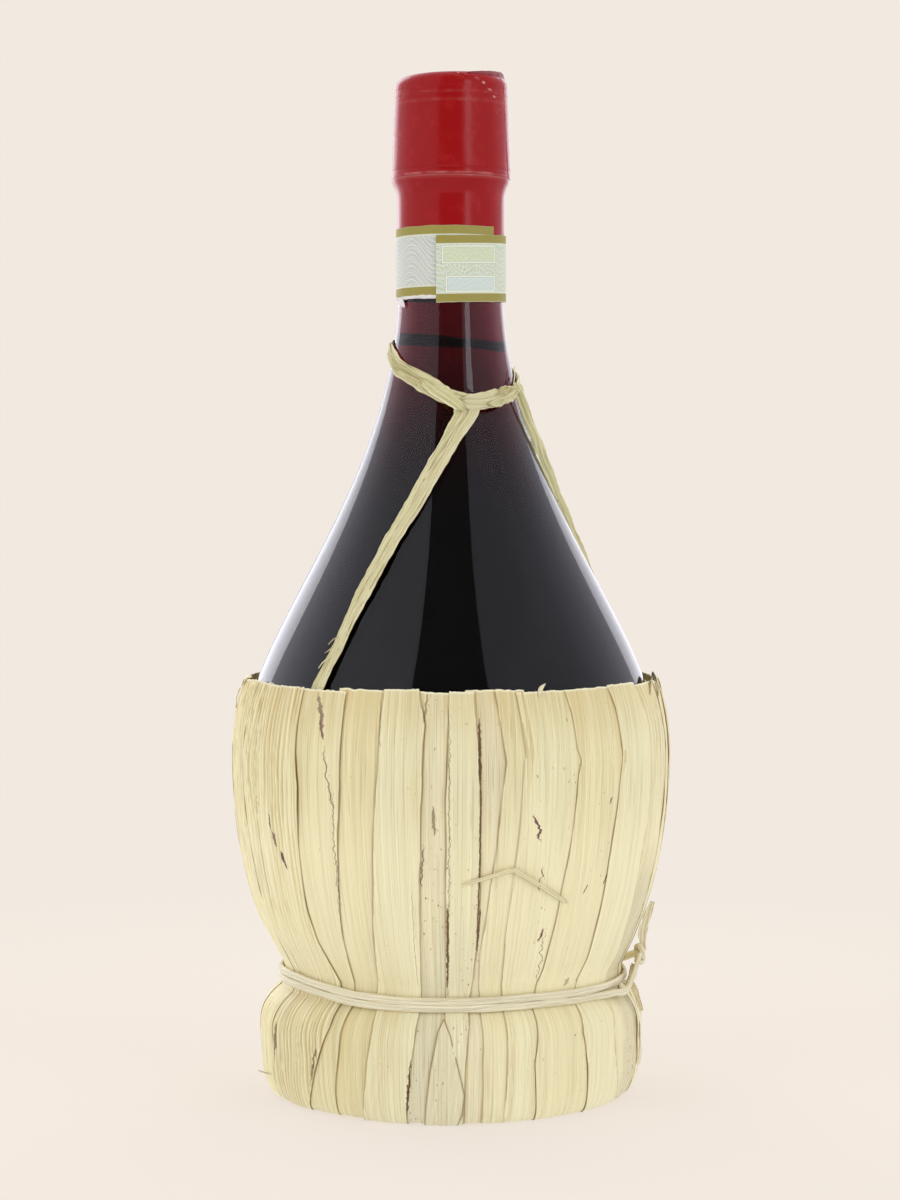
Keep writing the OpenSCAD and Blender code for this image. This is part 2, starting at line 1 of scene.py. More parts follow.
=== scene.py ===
# %% [markdown]
# # A straw-covered wine flask
# The real object is a blown glass flask whose round bulb could not stand by itself.
# Straw blades are drawn over it, tied at the waist, and folded under a packed ring
# that makes the foot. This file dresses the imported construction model: it keeps its
# sizes and places and makes each piece again with the detail that a camera sees.

import math

import bmesh
import bpy
import numpy as np
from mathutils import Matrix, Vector


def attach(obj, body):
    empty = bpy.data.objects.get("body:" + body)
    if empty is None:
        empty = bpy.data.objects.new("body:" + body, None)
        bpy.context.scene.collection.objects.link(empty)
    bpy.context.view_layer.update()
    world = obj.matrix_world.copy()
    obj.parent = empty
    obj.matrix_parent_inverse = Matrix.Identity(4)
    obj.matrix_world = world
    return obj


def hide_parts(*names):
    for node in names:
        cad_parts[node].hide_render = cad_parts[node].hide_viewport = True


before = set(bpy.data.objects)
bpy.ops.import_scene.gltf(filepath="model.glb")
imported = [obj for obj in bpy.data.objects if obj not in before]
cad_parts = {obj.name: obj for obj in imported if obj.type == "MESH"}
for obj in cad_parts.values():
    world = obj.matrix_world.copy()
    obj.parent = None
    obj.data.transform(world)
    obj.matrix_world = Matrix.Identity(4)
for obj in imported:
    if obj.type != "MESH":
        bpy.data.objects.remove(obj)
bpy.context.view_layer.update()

# %% [markdown]
# ## The studio
# The photograph is a catalogue picture: a long lens, nearly level, and a pale even
# ground. A camera could be matched by eye, but the bottle's outline gives it: the
# angle of the rim and the waist tie says how high it stands, and their curves say how
# far away. One curved sheet makes both floor and wall, so that no horizon shows.

# %% Camera
MM = 0.001
camera_data = bpy.data.cameras.new("studio_camera")
camera_data.lens = 83.42
camera = bpy.data.objects.new("studio_camera", camera_data)
bpy.context.scene.collection.objects.link(camera)
camera.location = (-0.0002, -0.705, 0.149)
camera_aim = Vector((-0.0002, 0.0, 0.1236))
camera.rotation_euler = (camera_aim - camera.location).to_track_quat("-Z", "Y").to_euler()
bpy.context.scene.camera = camera
bpy.context.scene.view_settings.view_transform = "Standard"
print("camera stands", round((camera_aim - camera.location).length, 3), "m away")

# %% [markdown]
# ### Small helpers for materials
# A material is a little graph. These helpers add a node, set its sockets and link
# them in one line, so that each recipe below reads from top to bottom.


# %% Helpers for node graphs
def new_material(name):
    material = bpy.data.materials.new(name)
    material.use_nodes = True
    material.node_tree.nodes.clear()
    return material


def node(tree, kind, links=None, **settings):
    made = tree.nodes.new(kind)
    for key, value in settings.items():
        setattr(made, key, value)
    for socket, value in (links or {}).items():
        target = made.inputs[socket]
        if isinstance(value, bpy.types.NodeSocket):
            tree.links.new(value, target)
        else:
            target.default_value = value
    return made


def math_node(tree, operation, *values, clamp=False):
    made = tree.nodes.new("ShaderNodeMath")
    made.operation = operation
    made.use_clamp = clamp
    for place, value in enumerate(values):
        if isinstance(value, bpy.types.NodeSocket):
            tree.links.new(value, made.inputs[place])
        else:
            made.inputs[place].default_value = value
    return made.outputs[0]


def mix_color(tree, share, first, second, blend="MIX"):
    made = tree.nodes.new("ShaderNodeMix")
    made.data_type = "RGBA"
    made.blend_type = blend
    for place, value in ((0, share), (6, first), (7, second)):
        if isinstance(value, bpy.types.NodeSocket):
            tree.links.new(value, made.inputs[place])
        elif place == 0:
            made.inputs[place].default_value = value
        else:
            made.inputs[place].default_value = (*value, 1.0)
    return made.outputs[2]


def ramp(tree, value, low, high, out_low=0.0, out_high=1.0, smooth=True):
    kind = "SMOOTHSTEP" if smooth else "LINEAR"
    made = node(tree, "ShaderNodeMapRange", interpolation_type=kind)
    for place, number in enumerate((value, low, high, out_low, out_high)):
        if isinstance(number, bpy.types.NodeSocket):
            tree.links.new(number, made.inputs[place])
        else:
            made.inputs[place].default_value = number
    return made.outputs[0]


def noise(tree, vector, scale, detail=2.0, rough=0.5):
    links = {"Vector": vector, "Scale": scale, "Detail": detail, "Roughness": rough}
    return node(tree, "ShaderNodeTexNoise", links).outputs["Fac"]


def output(tree, shader, volume=None):
    made = node(tree, "ShaderNodeOutputMaterial", {"Surface": shader})
    if volume is not None:
        tree.links.new(volume, made.inputs["Volume"])
    return made


# %% [markdown]
# ### Ground and wall
# The picture's ground is one flat cream. Where the camera looks at the sheet it glows
# in that cream, and round the foot a part of it is lit like paper, which keeps the
# soft shadow. Other rays meet a pale table that throws light back up at the bottle:
# the under side of the belly is the brightest part of the straw. Reflections pass the
# sheet by and meet the studio walls, or its edge would draw a line down the glass.

# %% Ground
GROUND = (0.887, 0.815, 0.745)


def seen_directly(tree):
    path = node(tree, "ShaderNodeLightPath").outputs
    glossy = math_node(tree, "MAXIMUM", path["Is Glossy Ray"], path["Is Transmission Ray"])
    return math_node(tree, "MAXIMUM", path["Is Camera Ray"], glossy)


def ground_material():
    material = new_material("studio_paper")
    tree = material.node_tree
    place = node(tree, "ShaderNodeTexCoord").outputs["Object"]
    away = node(tree, "ShaderNodeVectorMath", {0: place}, operation="LENGTH").outputs["Value"]
    share = ramp(tree, away, 0.12, 0.42, 0.3, 0.0)
    glow = node(tree, "ShaderNodeEmission", {"Color": (*GROUND, 1.0), "Strength": 1.0})
    lit = node(tree, "ShaderNodeBsdfDiffuse", {"Color": (0.83, 0.76, 0.69, 1.0)})
    seen = node(tree, "ShaderNodeMixShader", {0: share, 1: glow.outputs[0], 2: lit.outputs[0]})
    light_table = node(tree, "ShaderNodeEmission", {"Color": (1.0, 0.99, 0.97, 1.0), "Strength": 0.95})
    links = {0: seen_directly(tree), 1: light_table.outputs[0], 2: seen.outputs[0]}
    output(tree, node(tree, "ShaderNodeMixShader", links).outputs[0])
    return material


def ground_sheet():
    line = [(-2.6, 0.0), (-1.0, 0.0), (0.0, 0.0), (0.9, 0.0)]
    line += [(0.9 + 0.7 * math.sin(a), 0.7 - 0.7 * math.cos(a)) for a in np.linspace(0.1, 1.571, 14)]
    line += [(1.6, 3.2)]
    points = [(x, y, z - 0.00005) for y, z in line for x in (-3.0, 3.0)]
    faces = [(2 * i, 2 * i + 1, 2 * i + 3, 2 * i + 2) for i in range(len(line) - 1)]
    mesh = bpy.data.meshes.new("studio_ground")
    mesh.from_pydata(points, [], faces)
    mesh.shade_smooth()
    sheet = bpy.data.objects.new("studio_ground", mesh)
    bpy.context.scene.collection.objects.link(sheet)
    mesh.materials.append(ground_material())
    sheet.visible_glossy = False


ground_sheet()
print("ground made")

# %% [markdown]
# ### Light
# Dark glass shows nothing but its surroundings. The photographer had a broad soft
# light at the left, a narrower one at the right whose stripe runs down capsule and
# glass, bright light from behind that edges the glass, and nothing but darkness round
# the lens, which is the black band in the middle. A strong light overhead and the
# pale ground fill the straw evenly.


# %% Lamps
def softbox(name, angle, away, height, size, radiance, tint=(1.0, 1.0, 1.0)):
    lamp = bpy.data.lights.new(name, "AREA")
    lamp.shape = "RECTANGLE"
    lamp.size, lamp.size_y = size
    lamp.energy = radiance * math.pi * size[0] * size[1]
    lamp.color = tint
    holder = bpy.data.objects.new(name, lamp)
    turn = math.radians(angle)
    holder.location = (away * math.sin(turn), -away * math.cos(turn), height)
    direction = Vector((0, 0, 0.13)) - holder.location
    holder.rotation_euler = direction.to_track_quat("-Z", "Y").to_euler()
    bpy.context.scene.collection.objects.link(holder)
    return holder


left = softbox("left_softbox", -58, 1.3, 0.55, (1.2, 1.3), 1.2, (0.99, 1.0, 1.0))
right = softbox("right_softbox", 62, 1.3, 0.55, (1.0, 1.3), 1.1, (0.99, 1.0, 1.0))
overhead = softbox("overhead", 180, 0.05, 1.7, (1.5, 1.5), 0.9)
for lamp in (left, right, overhead):
    lamp.visible_glossy = False
edges = [
    softbox("right_stripe", 36, 1.2, 0.42, (0.22, 0.8), 2.3, (0.93, 0.95, 1.0)),
    softbox("back_left_edge", -149, 1.2, 0.5, (0.66, 1.3), 1.6, (0.94, 0.94, 1.0)),
    softbox("back_right_edge", 155, 1.3, 0.5, (0.72, 1.3), 1.1, (0.94, 0.94, 1.0)),
]
for lamp in edges:
    lamp.visible_camera = False
    lamp.visible_transmission = False


# %% World and dark card
def studio_world():
    world = bpy.data.worlds.new("studio")
    world.use_nodes = True
    tree = world.node_tree
    tree.nodes.clear()
    seen = node(tree, "ShaderNodeBackground", {"Color": (*GROUND, 1.0), "Strength": 1.0})
    toward = node(tree, "ShaderNodeTexCoord").outputs["Generated"]
    place = node(tree, "ShaderNodeSeparateXYZ", {0: toward}).outputs
    wall_tone = mix_color(tree, ramp(tree, place[0], -0.3, 0.3), (0.74, 0.73, 0.82), (0.58, 0.57, 0.65))
    rising = ramp(tree, place[1], -0.25, 0.4, 1.0, 1.38, smooth=False)
    walls = node(tree, "ShaderNodeBackground", {"Color": wall_tone, "Strength": rising})
    fill = node(tree, "ShaderNodeBackground", {"Color": (1.0, 0.99, 0.97, 1.0), "Strength": 0.62})
    links = {0: seen_directly(tree), 1: fill.outputs[0], 2: seen.outputs[0]}
    mixed = node(tree, "ShaderNodeMixShader", links)
    mirrored = node(tree, "ShaderNodeLightPath").outputs["Is Glossy Ray"]
    mixed = node(tree, "ShaderNodeMixShader", {0: mirrored, 1: mixed.outputs[0], 2: walls.outputs[0]})
    node(tree, "ShaderNodeOutputWorld", {"Surface": mixed.outputs[0]})
    bpy.context.scene.world = world


def dark_card():
    """A curved black cloth behind and above the camera, seen only in reflections."""
    points = []
    for rise in np.radians(np.linspace(0.2, 78, 14)):
        for turn in np.radians(np.linspace(-25, 24, 9)):
            flat = 1.6 * math.cos(rise)
            points.append((flat * math.sin(turn), -flat * math.cos(turn), 0.1 + 1.6 * math.sin(rise)))
    faces = [(9 * r + c, 9 * r + c + 1, 9 * r + c + 10, 9 * r + c + 9) for r in range(13) for c in range(8)]
    mesh = bpy.data.meshes.new("dark_card")
    mesh.from_pydata(points, [], faces)
    card = bpy.data.objects.new("dark_card", mesh)
    bpy.context.scene.collection.objects.link(card)
    material = new_material("dark_felt")
    tree = material.node_tree
    felt = node(tree, "ShaderNodeEmission", {"Color": (1.0, 0.98, 0.96, 1.0), "Strength": 0.095})
    output(tree, felt.outputs[0])
    mesh.materials.append(material)
    card.visible_camera = False
    card.visible_transmission = False
    card.visible_diffuse = False
    card.visible_shadow = False


studio_world()
dark_card()
print("world and card made")

# %% [markdown]
# ## Sizes
# These are the construction model's own values, in millimetres, so that every dressed
# piece lies exactly where its plain solid lies.

# %% Sizes of glass and cover
FLASK_H, NECK_R, NECK_Z = 254.4, 13.1, 204.0
BULB_R, BULB_Z, BULB_BOTTOM, BULB_FULLNESS = 52.25, 88.0, 5.0, 2.28
WALL, BORE_R, BORE_H = 2.6, 9.25, 46.0
COLLAR_Z = FLASK_H - 25.5
COLLAR_LOW_R, COLLAR_TOP_R, COLLAR_TURN, LIP_ROUND = 14.4, 13.6, 1.2, 2.2
WINE_Z = 202.5
COVER_H, COVER_BELLY_Z, LEAF_T, LEAF_STEP = 104.2, 85.0, 0.45, 0.6
LEAF_STACK = 2 * LEAF_STEP + LEAF_T
WAIST_Z, WAIST_HALF, FOOT_Z = 29.5, 2.6, 12.5


def bezier(t, a, b, c, d):
    return (1 - t) ** 3 * a + 3 * (1 - t) ** 2 * t * b + 3 * (1 - t) * t * t * c + t**3 * d


def hermite(t, a, slope_a, b, slope_b):
    first = (2 * t**3 - 3 * t * t + 1) * a + (t**3 - 2 * t * t + t) * slope_a
    return first + (3 * t * t - 2 * t**3) * b + (t**3 - t * t) * slope_b


# %% Glass radius at each height
sweep_t = np.linspace(0, 1, 500)
shoulder_zs = bezier(sweep_t, BULB_Z, BULB_Z + 28, NECK_Z - 52, NECK_Z)
shoulder_rs = bezier(sweep_t, BULB_R, BULB_R, NECK_R, NECK_R)
below_a = np.linspace(0, math.pi / 2, 300)
bulb_power = 2 / BULB_FULLNESS
below_rs = BULB_R * np.sin(below_a) ** bulb_power
below_zs = BULB_Z - (BULB_Z - BULB_BOTTOM) * np.cos(below_a) ** bulb_power
flask_rs = np.concatenate([below_rs[:-1], shoulder_rs])
flask_zs = np.concatenate([below_zs[:-1], shoulder_zs])


def glass_r(z):
    return np.interp(z, flask_zs, flask_rs)


def glass_slope(z):
    return glass_r(z + 0.5) - glass_r(z - 0.5)


# %% Cover radius at each height
COVER_BELLY_R = BULB_R + 1.4 + LEAF_STACK
COVER_RIM_R = glass_r(COVER_H) + 1.54 + LEAF_STACK
WAIST_TOP, WAIST_LOW = WAIST_Z + WAIST_HALF, WAIST_Z - WAIST_HALF
WAIST_R = glass_r(WAIST_TOP) + 0.37 + LEAF_STACK
FOOT_R = WAIST_R + 4.65
CONTACT_R = FOOT_R - 6.25
TUCK_R = CONTACT_R - 11.0


def cover_r(z):
    z = np.asarray(z, float)
    rim_h = COVER_H - COVER_BELLY_Z
    belly_h = COVER_BELLY_Z - WAIST_TOP
    flare_h = WAIST_LOW - FOOT_Z
    t = (z - COVER_BELLY_Z) / rim_h
    rim = hermite(t, COVER_BELLY_R, 0, COVER_RIM_R, glass_slope(COVER_H) * rim_h)
    t = (z - WAIST_TOP) / belly_h
    belly = hermite(t, WAIST_R, glass_slope(WAIST_TOP) * belly_h, COVER_BELLY_R, 0)
    t = (z - FOOT_Z) / flare_h
    foot = hermite(t, FOOT_R, 0, WAIST_R, -1.3 * flare_h)
    low = np.clip(1 - ((FOOT_Z - z) / FOOT_Z) ** 2, 0, 1)
    toe = CONTACT_R + (FOOT_R - CONTACT_R) * np.sqrt(low)
    levels = [z >= COVER_BELLY_Z, z >= WAIST_TOP, z >= WAIST_LOW, z >= FOOT_Z]
    return np.select(levels, [rim, belly, np.full_like(z, WAIST_R), foot], toe)


print("cover radii in mm, belly waist foot:", np.round([COVER_BELLY_R, WAIST_R, FOOT_R], 2))

# %% [markdown]
# ## Making meshes
# Every piece here is a sheet or a tube laid along a line, or a profile turned round
# the axis. All of them are grids of points, so three helpers are enough: one closes
# a grid into faces, one turns a profile, and one registers the finished piece.


# %% Mesh helpers
def grid_faces(rows, cols, close_rows=False, close_cols=False, start=0):
    r = np.arange(rows if close_rows else rows - 1)
    c = np.arange(cols if close_cols else cols - 1)
    rr, cc = np.meshgrid(r, c, indexing="ij")
    r2, c2 = (rr + 1) % rows, (cc + 1) % cols
    quads = [rr * cols + cc, rr * cols + c2, r2 * cols + c2, r2 * cols + cc]
    return np.stack(quads, -1).reshape(-1, 4) + start


def join_grids(parts):
    points, faces, values = [], [], {}
    start = 0
    for part in parts:
        points.append(part["points"])
        faces.extend((np.asarray(f) + start).tolist() for f in part["faces"])
        for key, value in part.items():
            if key not in ("points", "faces"):
                values.setdefault(key, []).append(value)
        start += len(part["points"])
    joined = {key: np.concatenate(value) for key, value in values.items()}
    return {"points": np.concatenate(points), "faces": faces, **joined}


def add_piece(name, part, material, body="flask", stands_for=(), sharp=None):
    """part holds points in mm, faces, and per point values: lie is kept as a UV map."""
    mesh = bpy.data.meshes.new(name)
    faces = [[int(i) for i in f] for f in part["faces"]]
    mesh.from_pydata((part["points"] * MM).tolist(), [], faces)
    for key, value in part.items():
        if key == "lie":
            layer = mesh.uv_layers.new(name="lie")
            corner = np.zeros(len(mesh.loops), np.int32)
            mesh.loops.foreach_get("vertex_index", corner)
            layer.data.foreach_set("uv", value[corner].astype(np.float32).ravel())
        elif key not in ("points", "faces"):
            attribute = mesh.attributes.new(key, "FLOAT", "POINT")
            attribute.data.foreach_set("value", value.astype(np.float32))
    turned = bmesh.new()
    turned.from_mesh(mesh)
    if "lie" not in part:
        bmesh.ops.remove_doubles(turned, verts=turned.verts, dist=1e-7)
    bmesh.ops.recalc_face_normals(turned, faces=turned.faces)
    turned.to_mesh(mesh)
    turned.free()
    mesh.shade_smooth()
    if sharp:
        mesh.set_sharp_from_angle(angle=math.radians(sharp))
    piece = bpy.data.objects.new(name, mesh)
    bpy.context.scene.collection.objects.link(piece)
    mesh.materials.append(material)
    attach(piece, body)
    if stands_for:
        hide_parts(*stands_for)
    return piece


def turned(profile, segments=256, close=False):
    r, z = np.array(profile, float).T
    a = np.linspace(0, 2 * math.pi, segments, endpoint=False)
    grid = np.stack([np.outer(r, np.cos(a)), np.outer(r, np.sin(a)), np.outer(z, np.ones(segments))], -1)
    faces = grid_faces(len(r), segments, close_rows=close, close_cols=True)
    return {"points": grid.reshape(-1, 3), "faces": list(faces)}


def waves(x, y, seed, size_x, size_y, count=7):
    """Smooth seeded unevenness, about -1 to 1, with bumps of the given sizes in mm."""
    rng = np.random.default_rng(seed)
    total = 0.0
    for _ in range(count):
        fx, fy = rng.normal(0, 1, 2)
        turn = rng.uniform(0, 2 * math.pi)
        total = total + np.sin(fx * 3.1 * x / size_x + fy * 3.1 * y / size_y + turn)
    return total / math.sqrt(count) * 0.8


# %% [markdown]
# ## Glass and wine
# The flask is blown glass, a little uneven, about 2.6 mm thick. It is turned from
# one closed profile, outside and inside, because light bends at both faces. The wine
# is a body of its own that reaches a little into the glass. A face bends and mirrors
# light by the ratio of what lies on its two sides: air and glass give 1.47, but glass
# and wine only 1.1, so the wetted inner wall gets a material of its own. The wine's
# colour isn't on its surface: it swallows light along its depth, so it is dark red in
# the neck and black in the bulb.


# %% Glass and wine materials
def glass_material(name, ratio):
    material = new_material(name)
    tree = material.node_tree
    place = node(tree, "ShaderNodeTexCoord").outputs["Object"]
    uneven = noise(tree, place, 22.0, 1.0)
    bump = node(tree, "ShaderNodeBump", {"Strength": 0.12, "Distance": 0.0006, "Height": uneven})
    smear = ramp(tree, noise(tree, place, 60.0, 3.0), 0.35, 0.75, 0.0, 0.008)
    tint = mix_color(tree, noise(tree, place, 15.0), (0.97, 0.985, 0.98), (0.95, 0.975, 0.97))
    links = {
        "Base Color": tint,
        "Roughness": smear,
        "IOR": ratio,
        "Transmission Weight": 1.0,
        "Normal": bump.outputs[0],
    }
    output(tree, node(tree, "ShaderNodeBsdfPrincipled", links).outputs[0])
    return material


def wine_material(name, ratio):
    material = new_material(name)
    tree = material.node_tree
    place = node(tree, "ShaderNodeTexCoord").outputs["Object"]
    cloudy = mix_color(tree, noise(tree, place, 40.0), (1.0, 0.97, 0.97), (0.98, 0.94, 0.95))
    links = {"Base Color": cloudy, "Roughness": 0.0, "IOR": ratio, "Transmission Weight": 1.0}
    surface = node(tree, "ShaderNodeBsdfPrincipled", links)
    depth = {"Color": (0.6, 0.12, 0.22, 1.0), "Density": 330.0}
    swallow = node(tree, "ShaderNodeVolumeAbsorption", depth)
    output(tree, surface.outputs[0], swallow.outputs[0])
    return material


# %% Glass flask and wine
def beside(line, distance):
    line = np.array(line, float)
    along = np.gradient(line, axis=0)
    along /= np.linalg.norm(along, axis=1)[:, None]
    return line + distance * np.stack([-along[:, 1], along[:, 0]], -1)


def paint_faces(piece, material, chosen):
    """Give the faces whose centre in mm passes the test a second material."""
    piece.data.materials.append(material)
    for face in piece.data.polygons:
        x, y, z = face.center / MM
        if chosen(math.hypot(x, y), z):
            face.material_index = 1


outside = np.stack([flask_rs, flask_zs], -1)[::6]
outside[0] = (0, BULB_BOTTOM)
inside = beside(outside, WALL)
inside = inside[inside[:, 0] > 0.5]
lip = [
    (COLLAR_TOP_R - LIP_ROUND * (1 - math.cos(a)), FLASK_H - LIP_ROUND * (1 - math.sin(a)))
    for a in np.linspace(0, math.pi / 2, 12)
]
collar = [(NECK_R, COLLAR_Z - 1.8), (NECK_R + 0.05, COLLAR_Z - 1.2), (NECK_R + 0.5, COLLAR_Z - 0.5)]
collar += [(COLLAR_LOW_R - 0.3, COLLAR_Z), (COLLAR_LOW_R, COLLAR_Z + 0.6)]
bore = [(BORE_R + 0.5, FLASK_H), (BORE_R + 0.12, FLASK_H - 0.15), (BORE_R, FLASK_H - 0.5)]
bore += [(BORE_R, FLASK_H - BORE_H), (BORE_R + 0.3, FLASK_H - BORE_H - 1.2), (NECK_R - WALL, FLASK_H - BORE_H - 4)]
glass_profile = list(map(tuple, outside)) + collar + lip + bore + list(map(tuple, inside[::-1]))
glass_profile += [(0, BULB_BOTTOM + WALL)]
flask = add_piece(
    "blown_glass_flask", turned(glass_profile, 320), glass_material("flask_glass", 1.47),
    stands_for=["glass_flask"], sharp=50,
)
paint_faces(flask, glass_material("wetted_glass", 1.1), lambda r, z: z < WINE_Z and r < glass_r(z) - 0.6 * WALL)

soaked = beside(outside, WALL - 0.06)
soaked = soaked[(soaked[:, 0] > 0.5) & (soaked[:, 1] < WINE_Z - 0.4)]
level = [(NECK_R - WALL + 0.06, WINE_Z + 0.3), (NECK_R - WALL - 0.5, WINE_Z), (0, WINE_Z - 0.1)]
wine_profile = [(0, BULB_BOTTOM + WALL - 0.06)] + list(map(tuple, soaked)) + level
wine = add_piece(
    "red_wine", turned(wine_profile, 256), wine_material("dark_red_wine", 1.001),
    stands_for=["wine"], sharp=50,
)
paint_faces(wine, wine_material("wine_level", 1.34), lambda r, z: z > WINE_Z - 0.3)
print("glass and wine made,", len(glass_profile), "profile points")

# %% [markdown]
# ## Cork and capsule
# The cork stays as the construction model has it, under a cork material with pores
# and lenticels. The capsule is thin glossy film over the collar: it is turned again
# with soft pressed rings instead of sharp ones, a lap seam where the film closes, and
# the small creases where it shrank over the edge of the lip.


# %% Cork and film materials
def cork_material():
    material = new_material("cork_bark")
    tree = material.node_tree
    place = node(tree, "ShaderNodeTexCoord").outputs["Object"]
    grain = noise(tree, place, 700.0, 6.0, 0.65)
    pores = ramp(tree, noise(tree, place, 420.0, 2.0), 0.62, 0.7)
    color = mix_color(tree, grain, (0.62, 0.41, 0.22), (0.78, 0.58, 0.35))
    color = mix_color(tree, pores, color, (0.2, 0.11, 0.05))
    height = math_node(tree, "SUBTRACT", grain, pores)
    bump = node(tree, "ShaderNodeBump", {"Strength": 0.6, "Distance": 0.0004, "Height": height})
    links = {"Base Color": color, "Roughness": 0.8, "Normal": bump.outputs[0]}
    output(tree, node(tree, "ShaderNodeBsdfPrincipled", links).outputs[0])
    return material


def film_material():
    material = new_material("red_capsule_film")
    tree = material.node_tree
    place = node(tree, "ShaderNodeTexCoord").outputs["Object"]
    rub = ramp(tree, noise(tree, place, 240.0, 4.0, 0.6), 0.45, 0.75)
    color = mix_color(tree, rub, (0.295, 0.0035, 0.0045), (0.33, 0.006, 0.007))
    # Painted highlight, partly real whitening of the film: pale pink where the rings, lap seam, creases and top edge
    # would catch the light
    whitening_and_highlight = node(tree, "ShaderNodeAttribute", attribute_name="whitening_and_highlight").outputs["Fac"]
    color = mix_color(tree, whitening_and_highlight, color, (0.78, 0.38, 0.36))
    rough = ramp(tree, rub, 0.0, 1.0, 0.2, 0.32, smooth=False)
    fine = noise(tree, place, 1500.0, 3.0)
    bump = node(tree, "ShaderNodeBump", {"Strength": 0.12, "Distance": 0.0002, "Height": fine})
    links = {"Base Color": color, "Roughness": rough, "IOR": 1.31, "Coat Weight": 0.05, "Coat Roughness": 0.1}
    links["Normal"] = bump.outputs[0]
    output(tree, node(tree, "ShaderNodeBsdfPrincipled", links).outputs[0])
    return material


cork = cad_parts["cork"]
cork.data.materials.clear()
cork.data.materials.append(cork_material())
film = film_material()
print("cork and film ready")


# %% Soft steps
def smooth_step(t):
    t = np.clip(t, 0, 1)
    return t * t * (3 - 2 * t)


def smooth_rise(value, low, high):
    return smooth_step((value - low) / (high - low))


def smooth_fall(value, start, width):
    return 1 - smooth_step((value - start) / width)


print("soft step at a quarter:", float(smooth_rise(0.25, 0, 1)))

# %% Capsule cap
FILM = 0.4
TEAR_Z = COLLAR_Z + COLLAR_TURN / 2 + 0.3
CAP_EDGE_Z = TEAR_Z - 0.2
CAP_LOW_R, CAP_TOP_R = COLLAR_LOW_R + 0.15 + FILM, COLLAR_TOP_R + 0.15 + FILM
CAP_TOP = FLASK_H + 0.2 + 0.3 + 0.05 + FILM
CAP_ROUND, CAP_LIP = 2.9, 0.9
CAP_SIDE_H = CAP_TOP - CAP_ROUND - CAP_EDGE_Z


def cap_side(h):
    r = CAP_LOW_R + (CAP_TOP_R - CAP_LOW_R) * np.clip(h / CAP_SIDE_H, 0, 1)
    for ring, depth in ((1.7, 0.1), (2.4, 0.04), (20.0, 0.05), (21.8, 0.04)):
        r = r - depth * np.exp(-(((h - ring) / 0.3) ** 2))
        r = r + 0.7 * depth * np.exp(-(((h - ring - 0.6) / 0.35) ** 2))
    return r - 0.08 * np.exp(-((h / 0.25) ** 2)) + 0.07 * np.exp(-(((h - 0.45) / 0.3) ** 2))


def cap_profile():
    heights = np.concatenate([np.arange(0, 4, 0.12), np.arange(4, 19, 0.6), np.arange(19, CAP_SIDE_H, 0.14)])
    side = [(float(cap_side(h)), CAP_EDGE_Z + h) for h in heights]
    center_r, center_z = CAP_TOP_R - CAP_ROUND, CAP_TOP - CAP_ROUND
    arc = np.linspace(0, math.pi / 2, 22)
    edge = [(center_r + CAP_ROUND * math.cos(a), center_z + CAP_ROUND * math.sin(a)) for a in arc]
    inner_round = CAP_ROUND - FILM
    inner = [(center_r + inner_round * math.cos(a), center_z + inner_round * math.sin(a)) for a in arc]
    mouth = [(center_r - 0.5, CAP_TOP), (center_r - CAP_LIP, CAP_TOP - 0.06)]
    mouth += [(center_r - CAP_LIP - 0.05, CAP_TOP - 0.2), (center_r - CAP_LIP, CAP_TOP - FILM)]
    low_inside = [(CAP_TOP_R - FILM, center_z), (CAP_LOW_R - FILM, TEAR_Z + 0.5), (CAP_LOW_R - FILM, CAP_EDGE_Z)]
    return side + edge + mouth + inner[::-1] + low_inside


cap_part = turned(cap_profile(), 420, close=True)
p = cap_part["points"]
radius = np.hypot(p[:, 0], p[:, 1])
azimuth = np.degrees(np.arctan2(p[:, 1], p[:, 0]))
up = p[:, 2] - TEAR_Z
outer = radius > np.interp(p[:, 2], [TEAR_Z, CAP_TOP - CAP_ROUND, CAP_TOP], [CAP_LOW_R, CAP_TOP_R, 11.0]) - 0.36
near_top = np.clip((up - 17) / 8, 0, 1)
lift = 0.02 * waves(azimuth, up, 3, 30.0, 14.0) + 0.04 * near_top * waves(azimuth, up, 4, 9.0, 5.0)
seam = -21.0 - 0.35 * (up - 12)
lift = lift + 0.16 / (1 + np.exp(-np.clip((azimuth - seam) / 0.35, -30, 30))) * smooth_fall(azimuth, seam + 20, 14)
# Painted glints: small pale spots placed just beside each shrink crease
painted_glints = 0.0
for crease_a, crease_z, size in (
    (-84, 24.6, 0.8), (-77, 24.1, 0.9), (-64, 23.3, 1.2), (-57, 22.2, 1.0), (-49, 20.6, 1.4), (-43, 19.0, 1.1), (-34, 16.2, 1.2)
):
    lean = (azimuth - crease_a) * 0.06
    away = ((azimuth - crease_a) / (3.2 * size)) ** 2 + ((up - crease_z + lean) / (0.42 * size)) ** 2
    spot = ((azimuth - crease_a - 2) / (1.5 * size)) ** 2 + ((up - crease_z + lean - 0.5) / 0.2) ** 2
    painted_glints = painted_glints + 1.3 * np.exp(-spot)
    lift = lift - 0.22 * np.exp(-away) + 0.12 * np.exp(-(((up - crease_z + lean - 0.6) / 0.4) ** 2) - away * 0.3)
scale = 1 + np.where(outer, lift, 0.0) / np.maximum(radius, 1.0)
p[:, 0] *= scale
p[:, 1] *= scale
slump = smooth_rise(up, 16, 25) * (0.018 * (p[:, 0] - 4) - 0.06)
p[:, 2] += np.where(p[:, 2] > CAP_TOP - CAP_ROUND - 4, slump, 0.0)
